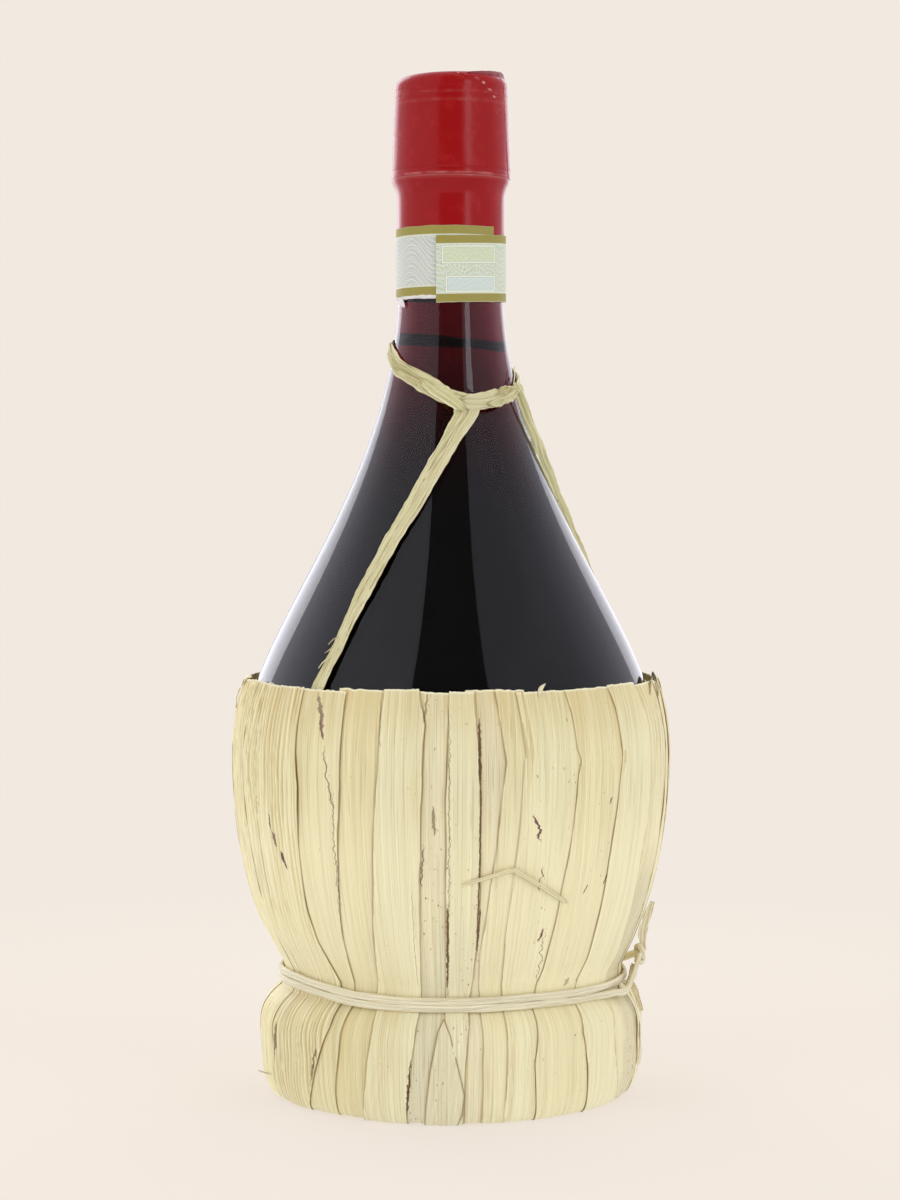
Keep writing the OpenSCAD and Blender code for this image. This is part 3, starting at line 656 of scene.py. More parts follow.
# Painted highlight on the film, partly real whitening of its creases: pale lines on the lip ring, the pressed rings and
# the lap seam, the glints, and a pale line round the top edge
streaky = np.clip(0.6 + 0.5 * waves(azimuth, up, 5, 11.0, 3.0), 0.1, 1)
whitening_and_highlight = 0.3 * np.exp(-(((up + 0.2 - 0.35) / 0.28) ** 2)) + 0.06 * np.exp(-(((up + 0.2 - 20.6) / 0.3) ** 2))
whitening_and_highlight += 0.15 * np.exp(-(((up + 0.2 - 18.6) / 0.25) ** 2)) + 0.3 * np.exp(-(((azimuth - seam) / 0.9) ** 2))
whitening_and_highlight += painted_glints
top_edge_highlight = 0.35 * np.exp(-(((radius - (CAP_TOP_R - CAP_ROUND - 0.4)) / 0.5) ** 2)) * (p[:, 2] > CAP_TOP - 1.2)
cap_part["whitening_and_highlight"] = np.clip(np.where(outer, whitening_and_highlight * streaky, 0.0) + top_edge_highlight, 0, 1)
add_piece("capsule_film_cap", cap_part, film, "capsule", ["capsule_cap"], sharp=60)
print("cap radius mm:", round(CAP_LOW_R, 2), "to", round(CAP_TOP_R, 2))

# %% End disc and skirt
DISC_Z = FLASK_H + 0.2
disc_r = CAP_TOP_R - CAP_ROUND
disc = [(0, DISC_Z + 0.28)]
disc += [(r, DISC_Z + 0.27 - 0.1 * math.exp(-(((r - 8.6) / 0.35) ** 2)) - 0.08 * math.exp(-(((r - 3) / 0.5) ** 2)))
         for r in np.linspace(0.5, disc_r - 0.2, 46)]
disc += [(disc_r, DISC_Z + 0.2), (disc_r, DISC_Z + 0.02), (0, DISC_Z)]
add_piece("capsule_film_disc", turned(disc, 200), film, "capsule", ["capsule_disc"], sharp=60)

skirt_line = [(NECK_R, NECK_Z + 0.4), (NECK_R, NECK_Z + 10), (NECK_R, NECK_Z + 19), (NECK_R, COLLAR_Z - 4.2)]
skirt_line += [(NECK_R + 0.12, COLLAR_Z - 3.0), (NECK_R + 0.4, COLLAR_Z - 2.0), (NECK_R + 0.8, COLLAR_Z - 1.1)]
skirt_line += [(COLLAR_LOW_R - 0.12, COLLAR_Z - 0.3), (COLLAR_LOW_R + 0.0, COLLAR_Z + 0.3)]
skirt_line += [(COLLAR_LOW_R + 0.01, COLLAR_Z + 0.66)]
skirt_loop = np.concatenate([beside(skirt_line, -0.07), beside(skirt_line, -0.05 - FILM)[::-1]])
skirt_part = turned(skirt_loop, 300, close=True)
p = skirt_part["points"]
a = np.degrees(np.arctan2(p[:, 1], p[:, 0]))
r = np.hypot(p[:, 0], p[:, 1])
puff = np.where(r > NECK_R + 0.25, 0.03 * waves(a, p[:, 2], 8, 12.0, 8.0), 0.0)
# Painted highlight along the skirt's top, where it meets the cap's lip ring
skirt_part["whitening_and_highlight"] = 0.3 * np.exp(-(((p[:, 2] - COLLAR_Z - 0.55) / 0.25) ** 2))
p[:, 0] *= 1 + puff / r
p[:, 1] *= 1 + puff / r
add_piece("capsule_film_skirt", skirt_part, film, "flask", ["capsule_skirt"], sharp=60)
print("disc and skirt made")

# %% [markdown]
# ## Paper strip
# A strip of security paper is wrapped once round the neck, one end lapped over the
# other. Its print here is a plain guilloche: a coloured band along each edge and
# families of fine crossing curves between them. The curves are drawn by the material
# from the strip's own length and height, so they stay sharp at any distance.


# %% Paper material
def curve_family(tree, along, up, pitch, swing, stride, turn):
    """Fine lines that rise and fall together: 1 on a line and 0 between."""
    angle = math_node(tree, "MULTIPLY_ADD", along, 2 * math.pi / stride, turn)
    sway = math_node(tree, "MULTIPLY", math_node(tree, "SINE", angle), swing)
    level = math_node(tree, "DIVIDE", math_node(tree, "ADD", up, sway), pitch)
    off = math_node(tree, "ABSOLUTE", math_node(tree, "SUBTRACT", math_node(tree, "FRACT", level), 0.5))
    return ramp(tree, off, 0.06, 0.15, 1.0, 0.0)


def rosette(tree, lie, center, pitch, reach):
    """Fine rings round a point, fading at their outermost."""
    away = node(tree, "ShaderNodeVectorMath", {0: lie, 1: (*center, 0.0)}, operation="DISTANCE").outputs["Value"]
    off = math_node(tree, "FRACT", math_node(tree, "DIVIDE", away, pitch))
    off = math_node(tree, "ABSOLUTE", math_node(tree, "SUBTRACT", off, 0.5))
    rings = ramp(tree, off, 0.06, 0.16, 1.0, 0.0)
    return math_node(tree, "MULTIPLY", rings, ramp(tree, away, reach - 0.4, reach, 1.0, 0.0))


def frame_line(tree, along, up, center, half):
    """A thin rectangle drawn round a centre: how far each point is from its line, in mm."""
    off_x = math_node(tree, "SUBTRACT", math_node(tree, "ABSOLUTE", math_node(tree, "SUBTRACT", along, center[0])), half[0])
    off_y = math_node(tree, "SUBTRACT", math_node(tree, "ABSOLUTE", math_node(tree, "SUBTRACT", up, center[1])), half[1])
    return math_node(tree, "MAXIMUM", off_x, off_y)


def paper_material():
    material = new_material("guilloche_paper")
    tree = material.node_tree
    lie = node(tree, "ShaderNodeUVMap", uv_map="lie").outputs[0]
    place = node(tree, "ShaderNodeSeparateXYZ", {0: lie}).outputs
    along, up = place[0], place[1]
    grey = mix_color(tree, noise(tree, lie, 0.5), (0.5, 0.505, 0.44), (0.56, 0.565, 0.5))
    green = mix_color(tree, noise(tree, lie, 0.25), (0.57, 0.6, 0.34), (0.52, 0.58, 0.5))
    body = mix_color(tree, ramp(tree, along, 44.0, 60.0), grey, green)
    third = curve_family(tree, up, along, 0.9, 0.9, 8.0, 1.0)
    body = mix_color(tree, math_node(tree, "MULTIPLY", third, 0.3), body, (0.36, 0.41, 0.38))
    first = curve_family(tree, along, up, 1.1, 2.6, 13.0, 0.0)
    second = curve_family(tree, along, up, 1.7, 3.4, 17.0, 2.4)
    body = mix_color(tree, math_node(tree, "MULTIPLY", first, 0.6), body, (0.74, 0.77, 0.74))
    body = mix_color(tree, math_node(tree, "MULTIPLY", second, 0.5), body, (0.68, 0.73, 0.78))
    for center, pitch, reach in (((86.0, 8.2), 0.8, 6.0), ((98.0, 9.5), 1.0, 5.0), ((23.0, 7.5), 0.7, 6.2)):
        rings = rosette(tree, lie, center, pitch, reach)
        body = mix_color(tree, math_node(tree, "MULTIPLY", rings, 0.45), body, (0.76, 0.78, 0.7))
    fields = (((92.5, 12.3), (7.0, 2.1), (0.6, 0.66, 0.42)), ((92.0, 4.7), (6.6, 1.9), (0.6, 0.68, 0.72)))
    fields += (((104.5, 8.6), (1.7, 5.4), (0.6, 0.66, 0.5)),)
    for center, half, tone in fields:
        away = frame_line(tree, along, up, center, half)
        body = mix_color(tree, ramp(tree, away, -0.1, 0.0, 0.55, 0.0), body, tone)
        line_off = math_node(tree, "ABSOLUTE", away)
        body = mix_color(tree, ramp(tree, line_off, 0.24, 0.32, 0.5, 0.0), body, (0.3, 0.33, 0.26))
        body = mix_color(tree, ramp(tree, line_off, 0.12, 0.2, 0.9, 0.0), body, (0.82, 0.84, 0.72))
    from_middle = math_node(tree, "ABSOLUTE", math_node(tree, "SUBTRACT", up, 8.7))
    body = mix_color(tree, ramp(tree, from_middle, 6.0, 6.2), body, (0.66, 0.67, 0.55))
    band_color = mix_color(tree, noise(tree, lie, 3.0, 3.0), (0.27, 0.225, 0.035), (0.34, 0.29, 0.07))
    body = mix_color(tree, ramp(tree, from_middle, 6.45, 6.55), body, band_color)
    body = mix_color(tree, ramp(tree, from_middle, 8.5, 8.6), body, (0.52, 0.48, 0.32))
    fibre = noise(tree, lie, 6.0, 5.0, 0.7)
    bump = node(tree, "ShaderNodeBump", {"Strength": 0.25, "Distance": 0.0001, "Height": fibre})
    rough = ramp(tree, fibre, 0.2, 0.8, 0.5, 0.7)
    links = {"Base Color": body, "Roughness": rough, "Normal": bump.outputs[0]}
    output(tree, node(tree, "ShaderNodeBsdfPrincipled", links).outputs[0])
    return material


paper = paper_material()
print("paper ready")

# %% Wrapped strip
STRIP_H, STRIP_Z, STRIP_T = 17.3, 199.7, 0.12
STRIP_LOW_R = NECK_R + 0.05 + FILM + 0.05


def wrapped_strip():
    steps, rows = 420, 30
    u = np.linspace(0, 1, steps)[:, None]
    v = np.linspace(0, 1, rows)[None, :]
    a = np.radians(-39 - 426 * u)
    z = STRIP_Z - 1.8 * smooth_step((u - 0.55) / 0.45) + (STRIP_H - 0.7 * smooth_step((u - 0.4) / 0.4)) * v
    z = z - 0.85 * np.exp(-(((u - 0.54) / 0.11) ** 2))
    length = 426 * u / 360 * 2 * math.pi * STRIP_LOW_R
    edge = np.abs(2 * v - 1) ** 8
    z = z + 0.07 * edge * waves(length, v, 21, 3.0, 1.0)
    rise = 0.24 * 426 * u / 360
    wobble = 0.03 * waves(length, STRIP_H * v, 22, 7.0, 9.0) + 0.03
    lifted = 0.16 * np.clip((u - 0.992) / 0.008, 0, 1) ** 2
    sides = []
    for thick in (0.0, STRIP_T):
        r = STRIP_LOW_R + rise + wobble + lifted + thick
        sides.append(np.stack([r * np.cos(a), r * np.sin(a), np.broadcast_to(z, r.shape)], -1))
    loop = np.concatenate([sides[1], sides[0][:, ::-1]], axis=1)
    lie = np.stack(np.broadcast_arrays(length, STRIP_H * v), -1)
    lie = np.concatenate([lie, lie[:, ::-1]], axis=1)
    cols = 2 * rows
    faces = list(grid_faces(steps, cols, close_cols=True))
    for row in (0, steps - 1):
        base = row * cols
        faces += [[base + i, base + i + 1, base + cols - 2 - i, base + cols - 1 - i] for i in range(rows - 1)]
    return {"points": loop.reshape(-1, 3), "faces": faces, "lie": lie.reshape(-1, 2)}


add_piece("guilloche_strip", wrapped_strip(), paper, "flask", ["neck_strip"], sharp=60)
print("strip made")

# %% [markdown]
# ## Straw material
# Each blade is a dried sedge leaf: pale, ribbed along its length with fine fibres,
# browned where an edge was torn, and marked by age. Colour could be painted, but the
# marks follow the fibres, so the material works in the blade's own directions: the
# UV map named lie holds millimetres across and along. Values kept on the points tell
# how far the edge and the cut end are, and carry the light and shade painted into the
# colour: painted shade at laps, in pleat valleys and towards the rim, a painted shadow
# line along each seam, some painted shade in the brown along the edges, and painted
# highlights on pleat ridges, just inside the edges and where light comes up from the
# table. Fibre, speck and mark effects serve straw and raffia alike, so they are node
# groups.


# %% Group helpers
def new_group(name, inputs, outputs):
    group = bpy.data.node_groups.new(name, "ShaderNodeTree")
    for label, kind, value in inputs:
        made = group.interface.new_socket(name=label, in_out="INPUT", socket_type=kind)
        if value is not None:
            made.default_value = value
    for label, kind in outputs:
        group.interface.new_socket(name=label, in_out="OUTPUT", socket_type=kind)
    entry = group.nodes.new("NodeGroupInput")
    leave = group.nodes.new("NodeGroupOutput")
    return group, entry.outputs, leave.inputs


def use_group(tree, group, links):
    made = node(tree, "ShaderNodeGroup", node_tree=group)
    for socket, value in links.items():
        if isinstance(value, bpy.types.NodeSocket):
            tree.links.new(value, made.inputs[socket])
        else:
            made.inputs[socket].default_value = value
    return made.outputs


def stretched(tree, lie, across, along):
    scaled = node(tree, "ShaderNodeVectorMath", {0: lie, 1: (across, along, 1.0)}, operation="MULTIPLY")
    return scaled.outputs[0]


VECTOR, FLOAT = "NodeSocketVector", "NodeSocketFloat"


# %% Fibre group
def fibre_group():
    inputs = [("Lie", VECTOR, None), ("Fineness", FLOAT, 1.0)]
    outputs = [("Streaks", FLOAT), ("Bands", FLOAT), ("Lines", FLOAT), ("Pale Lines", FLOAT), ("Height", FLOAT)]
    group, entry, leave = new_group("straw_fibres", inputs, outputs)
    lie = node(group, "ShaderNodeVectorMath", {0: entry["Lie"], 3: entry["Fineness"]}, operation="SCALE")
    lie = lie.outputs[0]
    fine = noise(group, stretched(group, lie, 6.5, 0.035), 1.0, 3.0, 0.65)
    bands = noise(group, stretched(group, lie, 0.8, 0.012), 1.0, 2.0, 0.6)
    ribs = noise(group, stretched(group, lie, 1.9, 0.01), 1.0, 1.0)
    line_at = math_node(group, "ABSOLUTE", math_node(group, "SUBTRACT", ribs, 0.5))
    lines = ramp(group, line_at, 0.0, 0.022, 1.0, 0.0)
    pale_at = math_node(group, "ABSOLUTE", math_node(group, "SUBTRACT", ribs, 0.57))
    group.links.new(ramp(group, pale_at, 0.0, 0.02, 1.0, 0.0), leave["Pale Lines"])
    group.links.new(fine, leave["Streaks"])
    group.links.new(bands, leave["Bands"])
    group.links.new(lines, leave["Lines"])
    height = math_node(group, "MULTIPLY_ADD", fine, 0.4, ribs)
    height = math_node(group, "MULTIPLY_ADD", lines, -0.3, height)
    group.links.new(height, leave["Height"])
    return group


FIBRES = fibre_group()
print("fibre group sockets:", [s.name for s in FIBRES.interface.items_tree])


# %% Speck group
def speck_group():
    inputs = [("Lie", VECTOR, None), ("Amount", FLOAT, 0.5)]
    group, entry, leave = new_group("age_specks", inputs, [("Specks", FLOAT), ("Halo", FLOAT)])
    dots = noise(group, stretched(group, entry["Lie"], 1.3, 0.55), 1.0, 2.0, 0.6)
    patch = noise(group, stretched(group, entry["Lie"], 0.11, 0.03), 1.0, 1.0)
    level = math_node(group, "MULTIPLY_ADD", patch, -0.24, 0.865)
    level = math_node(group, "MULTIPLY_ADD", entry["Amount"], -0.08, level)
    found = math_node(group, "SUBTRACT", dots, level)
    group.links.new(ramp(group, found, 0.0, 0.03), leave["Specks"])
    group.links.new(ramp(group, found, -0.07, 0.02), leave["Halo"])
    return group


SPECKS = speck_group()
print("speck group made")


# %% Mark group
def mark_group():
    """One long mark on a blade, placed by the angle round the flask and by height."""
    inputs = [("Turn", FLOAT, 0.0), ("Height", FLOAT, 0.0), ("Wander", FLOAT, 0.5), ("Broken", FLOAT, 0.5)]
    inputs += [("At Turn", FLOAT, 0.0), ("At Height", FLOAT, 0.0)]
    inputs += [("Half Width", FLOAT, 0.5), ("Half Length", FLOAT, 5.0), ("Lean", FLOAT, 0.0), ("Zigzag", FLOAT, 0.0)]
    group, entry, leave = new_group("long_mark", inputs, [("Mark", FLOAT)])
    rise = math_node(group, "SUBTRACT", entry["Height"], entry["At Height"])
    part = math_node(group, "DIVIDE", rise, entry["Half Length"])
    center = math_node(group, "MULTIPLY_ADD", part, entry["Lean"], entry["At Turn"])
    sway = math_node(group, "MULTIPLY", math_node(group, "SUBTRACT", entry["Wander"], 0.5), entry["Zigzag"])
    center = math_node(group, "ADD", center, sway)
    off = math_node(group, "ABSOLUTE", math_node(group, "SUBTRACT", entry["Turn"], center))
    off = math_node(group, "DIVIDE", off, entry["Half Width"])
    ends = math_node(group, "POWER", math_node(group, "ABSOLUTE", part), 4.0)
    reach = math_node(group, "ADD", off, ends)
    reach = math_node(group, "MULTIPLY_ADD", entry["Broken"], 2.6, math_node(group, "SUBTRACT", reach, 1.3))
    group.links.new(ramp(group, reach, 0.55, 1.15, 1.0, 0.0), leave["Mark"])
    return group


MARK = mark_group()
print("mark group made")

# %% Marks on the front blades
# angle, height, half width in degrees, half length in mm, lean, zigzag, strength
PURPLE_MARKS = [
    (-125.6, 98.5, 0.75, 4.6, -1.6, 1.2, 0.75), (-124.6, 94.5, 0.45, 2.6, -0.9, 0.8, 0.9),
    (-122.1, 82.0, 0.26, 9.0, -1.6, 1.6, 0.8), (-120.9, 66.0, 0.22, 14.0, 0.2, 1.4, 0.7),
    (-121.6, 52.0, 0.2, 9.0, 0.7, 1.0, 0.5), (-142.6, 68.5, 0.4, 4.6, -1.4, 1.2, 0.8),
    (-139.2, 62.0, 0.5, 2.6, -0.9, 0.8, 1.0), (-67.6, 71.4, 0.42, 3.4, -1.2, 2.6, 1.0),
    (-66.2, 59.0, 0.2, 3.4, 0.3, 2.0, 0.9), (-63.9, 45.0, 0.42, 1.8, 0.5, 1.2, 1.0),
    (-62.5, 39.5, 0.17, 6.8, -0.5, 2.6, 0.9), (-97.2, 62.5, 0.24, 5.5, 0.4, 1.2, 0.8),
]
# The three marks near -82.7 degrees paint the shadow in the narrow gap along seam 7; the others are stains
BROWN_MARKS = [
    (-90.9, 42.5, 0.42, 12.0, 0.1, 0.5, 1.0), (-90.4, 72.0, 0.16, 30.0, 0.2, 1.0, 0.55),
    (-94.2, 73.6, 0.5, 3.6, -0.2, 0.6, 0.7), (-100.3, 45.0, 0.12, 14.0, 0.1, 0.6, 0.5),
    (-51.6, 55.6, 0.3, 1.2, 0.6, 0.4, 0.9), (-44.8, 57.5, 0.3, 1.4, 0.5, 0.4, 0.9),
    (-45.6, 76.8, 0.3, 0.9, 0.4, 0.4, 0.9), (-102.2, 9.0, 0.32, 7.0, 0.8, 1.0, 1.0),
    (-82.9, 90.0, 0.42, 8.0, 0.0, 0.3, 1.0), (-82.7, 68.0, 0.26, 30.0, 0.1, 0.3, 0.95),
    (-82.4, 47.0, 0.34, 6.0, 0.2, 0.3, 0.9), (-108.0, 96.0, 0.2, 6.0, -0.3, 0.6, 0.5),
    (-96.4, 100.0, 0.35, 4.0, 0.4, 0.6, 0.6), (-133.9, 12.0, 0.5, 4.5, 1.4, 1.4, 0.8),
    (-50.0, 32.0, 0.9, 1.0, 0.9, 1.0, 0.5), (-154.0, 15.0, 0.6, 5.0, 0.5, 1.4, 0.8),
    (38.0, 60.0, 0.6, 9.0, 0.8, 1.4, 0.8), (95.0, 78.0, 0.5, 12.0, -1.0, 1.4, 0.8),
    (150.0, 48.0, 0.7, 10.0, 1.0, 1.2, 0.8),
]
print("marks:", len(PURPLE_MARKS) + len(BROWN_MARKS))


# %% Straw material
def attribute(tree, name):
    return node(tree, "ShaderNodeAttribute", attribute_name=name).outputs["Fac"]


def lay_marks(tree, lie, marks):
    turn, height = attribute(tree, "turn_deg"), attribute(tree, "height_mm")
    wander = noise(tree, stretched(tree, lie, 0.02, 0.42), 1.0, 3.0, 0.7)
    broken = noise(tree, stretched(tree, lie, 2.4, 0.75), 1.0, 3.0, 0.6)
    total = None
    for at_turn, at_height, half_width, half_length, lean, zigzag, strength in marks:
        links = {"Turn": turn, "Height": height, "Wander": wander, "Broken": broken}
        links.update({"At Turn": at_turn, "At Height": at_height, "Half Width": half_width})
        links.update({"Half Length": half_length, "Lean": lean, "Zigzag": 2 * zigzag})
        mark = math_node(tree, "MULTIPLY", use_group(tree, MARK, links)["Mark"], strength)
        total = mark if total is None else math_node(tree, "MAXIMUM", total, mark)
    return total


def straw_material(name, pale, deep, casts, fineness=1.0, specks=0.5, marked=False):
    """casts: the tan, green and rosy casts that the point value cast chooses between."""
    material = new_material(name)
    tree = material.node_tree
    lie = node(tree, "ShaderNodeUVMap", uv_map="lie").outputs[0]
    fibres = use_group(tree, FIBRES, {"Lie": lie, "Fineness": fineness})
    aged = math_node(tree, "ADD", attribute(tree, "aged"), specks)
    age = use_group(tree, SPECKS, {"Lie": lie, "Amount": aged})
    streak = math_node(tree, "MULTIPLY_ADD", fibres["Streaks"], 0.5, math_node(tree, "MULTIPLY", fibres["Bands"], 0.5))
    color = mix_color(tree, ramp(tree, streak, 0.36, 0.62), deep, pale)
    cast = attribute(tree, "cast")
    tinted = mix_color(tree, ramp(tree, cast, 0.0, 0.5, smooth=False), casts[0], casts[1])
    tinted = mix_color(tree, ramp(tree, cast, 0.5, 1.0, smooth=False), tinted, casts[2])
    color = mix_color(tree, 0.5, color, tinted)
    tan = ramp(tree, noise(tree, stretched(tree, lie, 0.16, 0.02), 1.0, 2.0), 0.5, 0.72, 0.0, 0.4)
    color = mix_color(tree, tan, color, (0.7, 0.55, 0.27))
    color = mix_color(tree, attribute(tree, "shade"), color, (0.58, 0.42, 0.16))
    color = mix_color(tree, attribute(tree, "weathered"), color, (0.69, 0.635, 0.45))
    color = mix_color(tree, math_node(tree, "MULTIPLY", fibres["Lines"], 0.55), color, (0.47, 0.37, 0.18))
    color = mix_color(tree, math_node(tree, "MULTIPLY", fibres["Pale Lines"], 0.4), color, (0.94, 0.9, 0.66))
    # Painted highlight: pale straw on pleat ridges and where light from the table below would fall
    color = mix_color(tree, attribute(tree, "ridge"), color, (0.98, 0.89, 0.58))
    # Painted seam shadow: a dark brown line on the lower blade where the edge of the blade above lies on it
    color = mix_color(tree, attribute(tree, "groove"), color, (0.22, 0.13, 0.04))
    edge = attribute(tree, "edge_mm")
    rough_edge = math_node(tree, "MULTIPLY_ADD", noise(tree, stretched(tree, lie, 1.5, 0.1), 1.0, 3.0), 0.9, -0.3)
    # Brown along the visible edges: partly real browning of torn edges, partly painted shade where an edge meets the
    # blade beneath
    brown = ramp(tree, math_node(tree, "SUBTRACT", edge, rough_edge), -0.04, 0.09, 1.0, 0.0)
    # Painted highlight: a pale band just inside each visible edge
    painted_edge_highlight = ramp(tree, edge, 0.2, 0.6, 0.55, 0.0)
    color = mix_color(tree, painted_edge_highlight, color, (0.88, 0.81, 0.56))
    color = mix_color(tree, math_node(tree, "MULTIPLY", brown, 0.6), color, (0.36, 0.24, 0.08))
    color = mix_color(tree, math_node(tree, "MULTIPLY", age["Halo"], 0.35), color, (0.5, 0.37, 0.18))
    color = mix_color(tree, math_node(tree, "MULTIPLY", age["Specks"], 0.85), color, (0.13, 0.09, 0.045))
    if marked:
        brown_marks = lay_marks(tree, lie, BROWN_MARKS)
        color = mix_color(tree, brown_marks, color, (0.16, 0.085, 0.03))
        purple_marks = lay_marks(tree, lie, PURPLE_MARKS)
        color = mix_color(tree, purple_marks, color, (0.17, 0.07, 0.065))
        cut = ramp(tree, attribute(tree, "cut_mm"), 0.25, 0.6, 0.8, 0.0)
        color = mix_color(tree, cut, color, (0.88, 0.83, 0.62))
    bump = node(tree, "ShaderNodeBump", {"Strength": 0.8, "Distance": 0.00016, "Height": fibres["Height"]})
    rough = ramp(tree, fibres["Streaks"], 0.3, 0.7, 0.62, 0.46)
    links = {"Base Color": color, "Roughness": rough, "Normal": bump.outputs[0], "IOR": 1.4}
    output(tree, node(tree, "ShaderNodeBsdfPrincipled", links).outputs[0])
    return material


STRAW_CASTS = ((0.77, 0.65, 0.36), (0.84, 0.805, 0.55), (0.72, 0.64, 0.49))
RAFFIA_CASTS = ((0.68, 0.63, 0.38), (0.6, 0.6, 0.33), (0.7, 0.66, 0.48))
straw = straw_material("dried_sedge_straw", (0.87, 0.8, 0.5), (0.64, 0.53, 0.26), STRAW_CASTS, 1.0, -0.25, True)
raffia = straw_material("raffia_strip", (0.76, 0.72, 0.45), (0.5, 0.46, 0.22), RAFFIA_CASTS, 1.6, 0.2)
tie_straw = straw_material("raffia_tie", (0.92, 0.87, 0.68), (0.68, 0.6, 0.44), ((0.86, 0.8, 0.6),) * 3, 1.3, -0.2)
print("straw and raffia ready")

# %% [markdown]
# ## The straw cover
# Thirty-four blades lie side by side in three depths. A texture on one shell would
# show the lines but not the laps, so each blade is its own thin curved sheet: its
# outer face follows the cover's path from the cut rim down the belly, under the tie,
# over the foot and in beneath it. Its edges follow seams that wander a little, and
# folds, pleats and kinks are pressed into it.

# %% The path of a blade
drop_z = np.arange(107.0, FOOT_Z, -0.4)
drop = np.stack([cover_r(drop_z), drop_z], -1)
toe_a = np.linspace(math.pi / 2, 0, 26)
TOE_R = CONTACT_R + 2.6
toe = np.stack([TOE_R + (FOOT_R - TOE_R) * np.sin(toe_a), FOOT_Z * (1 - np.cos(toe_a))], -1)
under = np.stack([np.linspace(TOE_R - 0.5, TUCK_R, 20), np.zeros(20)], -1)
blade_line = np.concatenate([drop, toe, under])
blade_s = np.concatenate([[0], np.cumsum(np.linalg.norm(np.diff(blade_line, axis=0), axis=1))])
blade_along = np.gradient(blade_line, axis=0)
blade_along /= np.linalg.norm(blade_along, axis=1)[:, None]
blade_out = np.stack([-blade_along[:, 1], blade_along[:, 0]], -1)


def path_at(s):
    r = np.interp(s, blade_s, blade_line[:, 0])
    z = np.interp(s, blade_s, blade_line[:, 1])
    out_r = np.interp(s, blade_s, blade_out[:, 0])
    out_z = np.interp(s, blade_s, blade_out[:, 1])
    length = np.hypot(out_r, out_z)
    return r, z, out_r / length, out_z / length


def leaned(points):
    """The tie pulls the waist in more at the left; the foot is pushed out a little in front."""
    turn = np.arctan2(points[:, 1], points[:, 0])
    pull = 1.2 * np.exp(-(((points[:, 2] - 33) / 10) ** 2)) * np.clip(-np.cos(turn), 0, 1) ** 2
    reach = np.hypot(points[:, 0], points[:, 1])
    push = 2.6 * np.exp(-((points[:, 2] / 6.5) ** 2)) * np.clip(-np.sin(turn), 0, 1) ** 3
    points[:, 0] += pull
    points[:, 1] -= push * smooth_rise(reach, TUCK_R, TOE_R)
    return points


def s_at_height(z):
    return np.interp(-z, -blade_line[: len(drop), 1], blade_s[: len(drop)])


print("blade length from rim to tuck in mm:", round(float(blade_s[-1] - s_at_height(COVER_H)), 1))

# %% Blades and their seams
LEAVES = [
    (7, 1), (17.4, 0), (13.1, 1), (9.3, 0), (12.5, 2), (6.9, 1), (8.2, 0), (5.9, 2),
    (4.4, 1), (17.2, 0), (11.8, 1), (14.4, 0), (14.3, 2), (9, 1), (12, 0), (7, 2),
    (13, 0), (10, 1), (6, 2), (14, 0), (11, 1), (8, 2), (15, 0), (9, 1),
    (12, 0), (6.5, 2), (13, 1), (10, 0), (8, 2), (14, 0), (9.5, 1), (12, 0),
    (7.5, 2), (11.1, 0),
]
FIRST_SEAM = -157.0
seam_azimuths = FIRST_SEAM + np.concatenate([[0], np.cumsum([w for w, _ in LEAVES])])

# How far a seam strays from its straight line, in degrees, at each height in mm
SEAM_STRAY = {
    0: [(104, 2), (97, 0.3), (82, -1.5), (67, 0.1), (51, 0.7), (30, 1), (0, 0)],
    2: [(104, 0), (88, 0), (80, 0.8), (50, -0.7), (42, 0.1), (30, 4.5), (22, 4.7), (14, 1), (6, -2.6), (0, -6)],
    3: [(104, 1.1), (88, 1), (81, 0.9), (60, -1), (45, -2.8), (30, -3.6), (17, -4.6), (6, -6.4), (0, -7)],
    4: [(104, 2.7), (87, 2), (73, 0.8), (55, -0.7), (39, -2.7), (30, -4.3), (22, -3.2), (10, -4.9), (0, -7)],
    5: [(104, -0.5), (96, 1.2), (89, 0.8), (68, 0.1), (45, -0.8), (30, -1.8), (17, -3.2), (5, -5.2), (0, -5.6)],
    6: [(104, 0.5), (80, -0.3), (54, -0.5), (42, -0.6), (30, -0.9), (22, -1.2), (13, -3), (0, -5)],
    7: [(104, -1.4), (93, -0.6), (82, -0.3), (49, 0.2), (35, -0.5), (26, -2.1), (15, -3.2), (0, -3.8)],
    8: [(104, -1.7), (98, -1), (87.4, 0.5), (80, -0.4), (66, -1.8), (49, -3.8), (41, -5), (28, -4), (0, -4)],
    9: [(104, -0.6), (89, 1), (87, 0.6), (70, -0.5), (45, -2.5), (28, -1), (14, -1.4), (0, -2)],
    10: [(104, -3.6), (98, -2.4), (90, -1.7), (87, -0.4), (84, -1.5), (70, -2.7), (56, -4.4), (36, -5.6), (26, -8.4), (14, -10.2), (0, -8.6)],
    11: [(104, -0.4), (99, 0.9), (88, 2.1), (80, 0.7), (62, -1.2), (37, -0.8), (27, -3.3), (20, -5), (12, -3.2), (0, -1.8)],
    12: [(104, -2), (94, 1.7), (79, 1.7), (61, -0.1), (43, 1.7), (36, 3.2), (26, -1.9), (19, -5.5), (11, -3.8), (0, 0.9)],
}


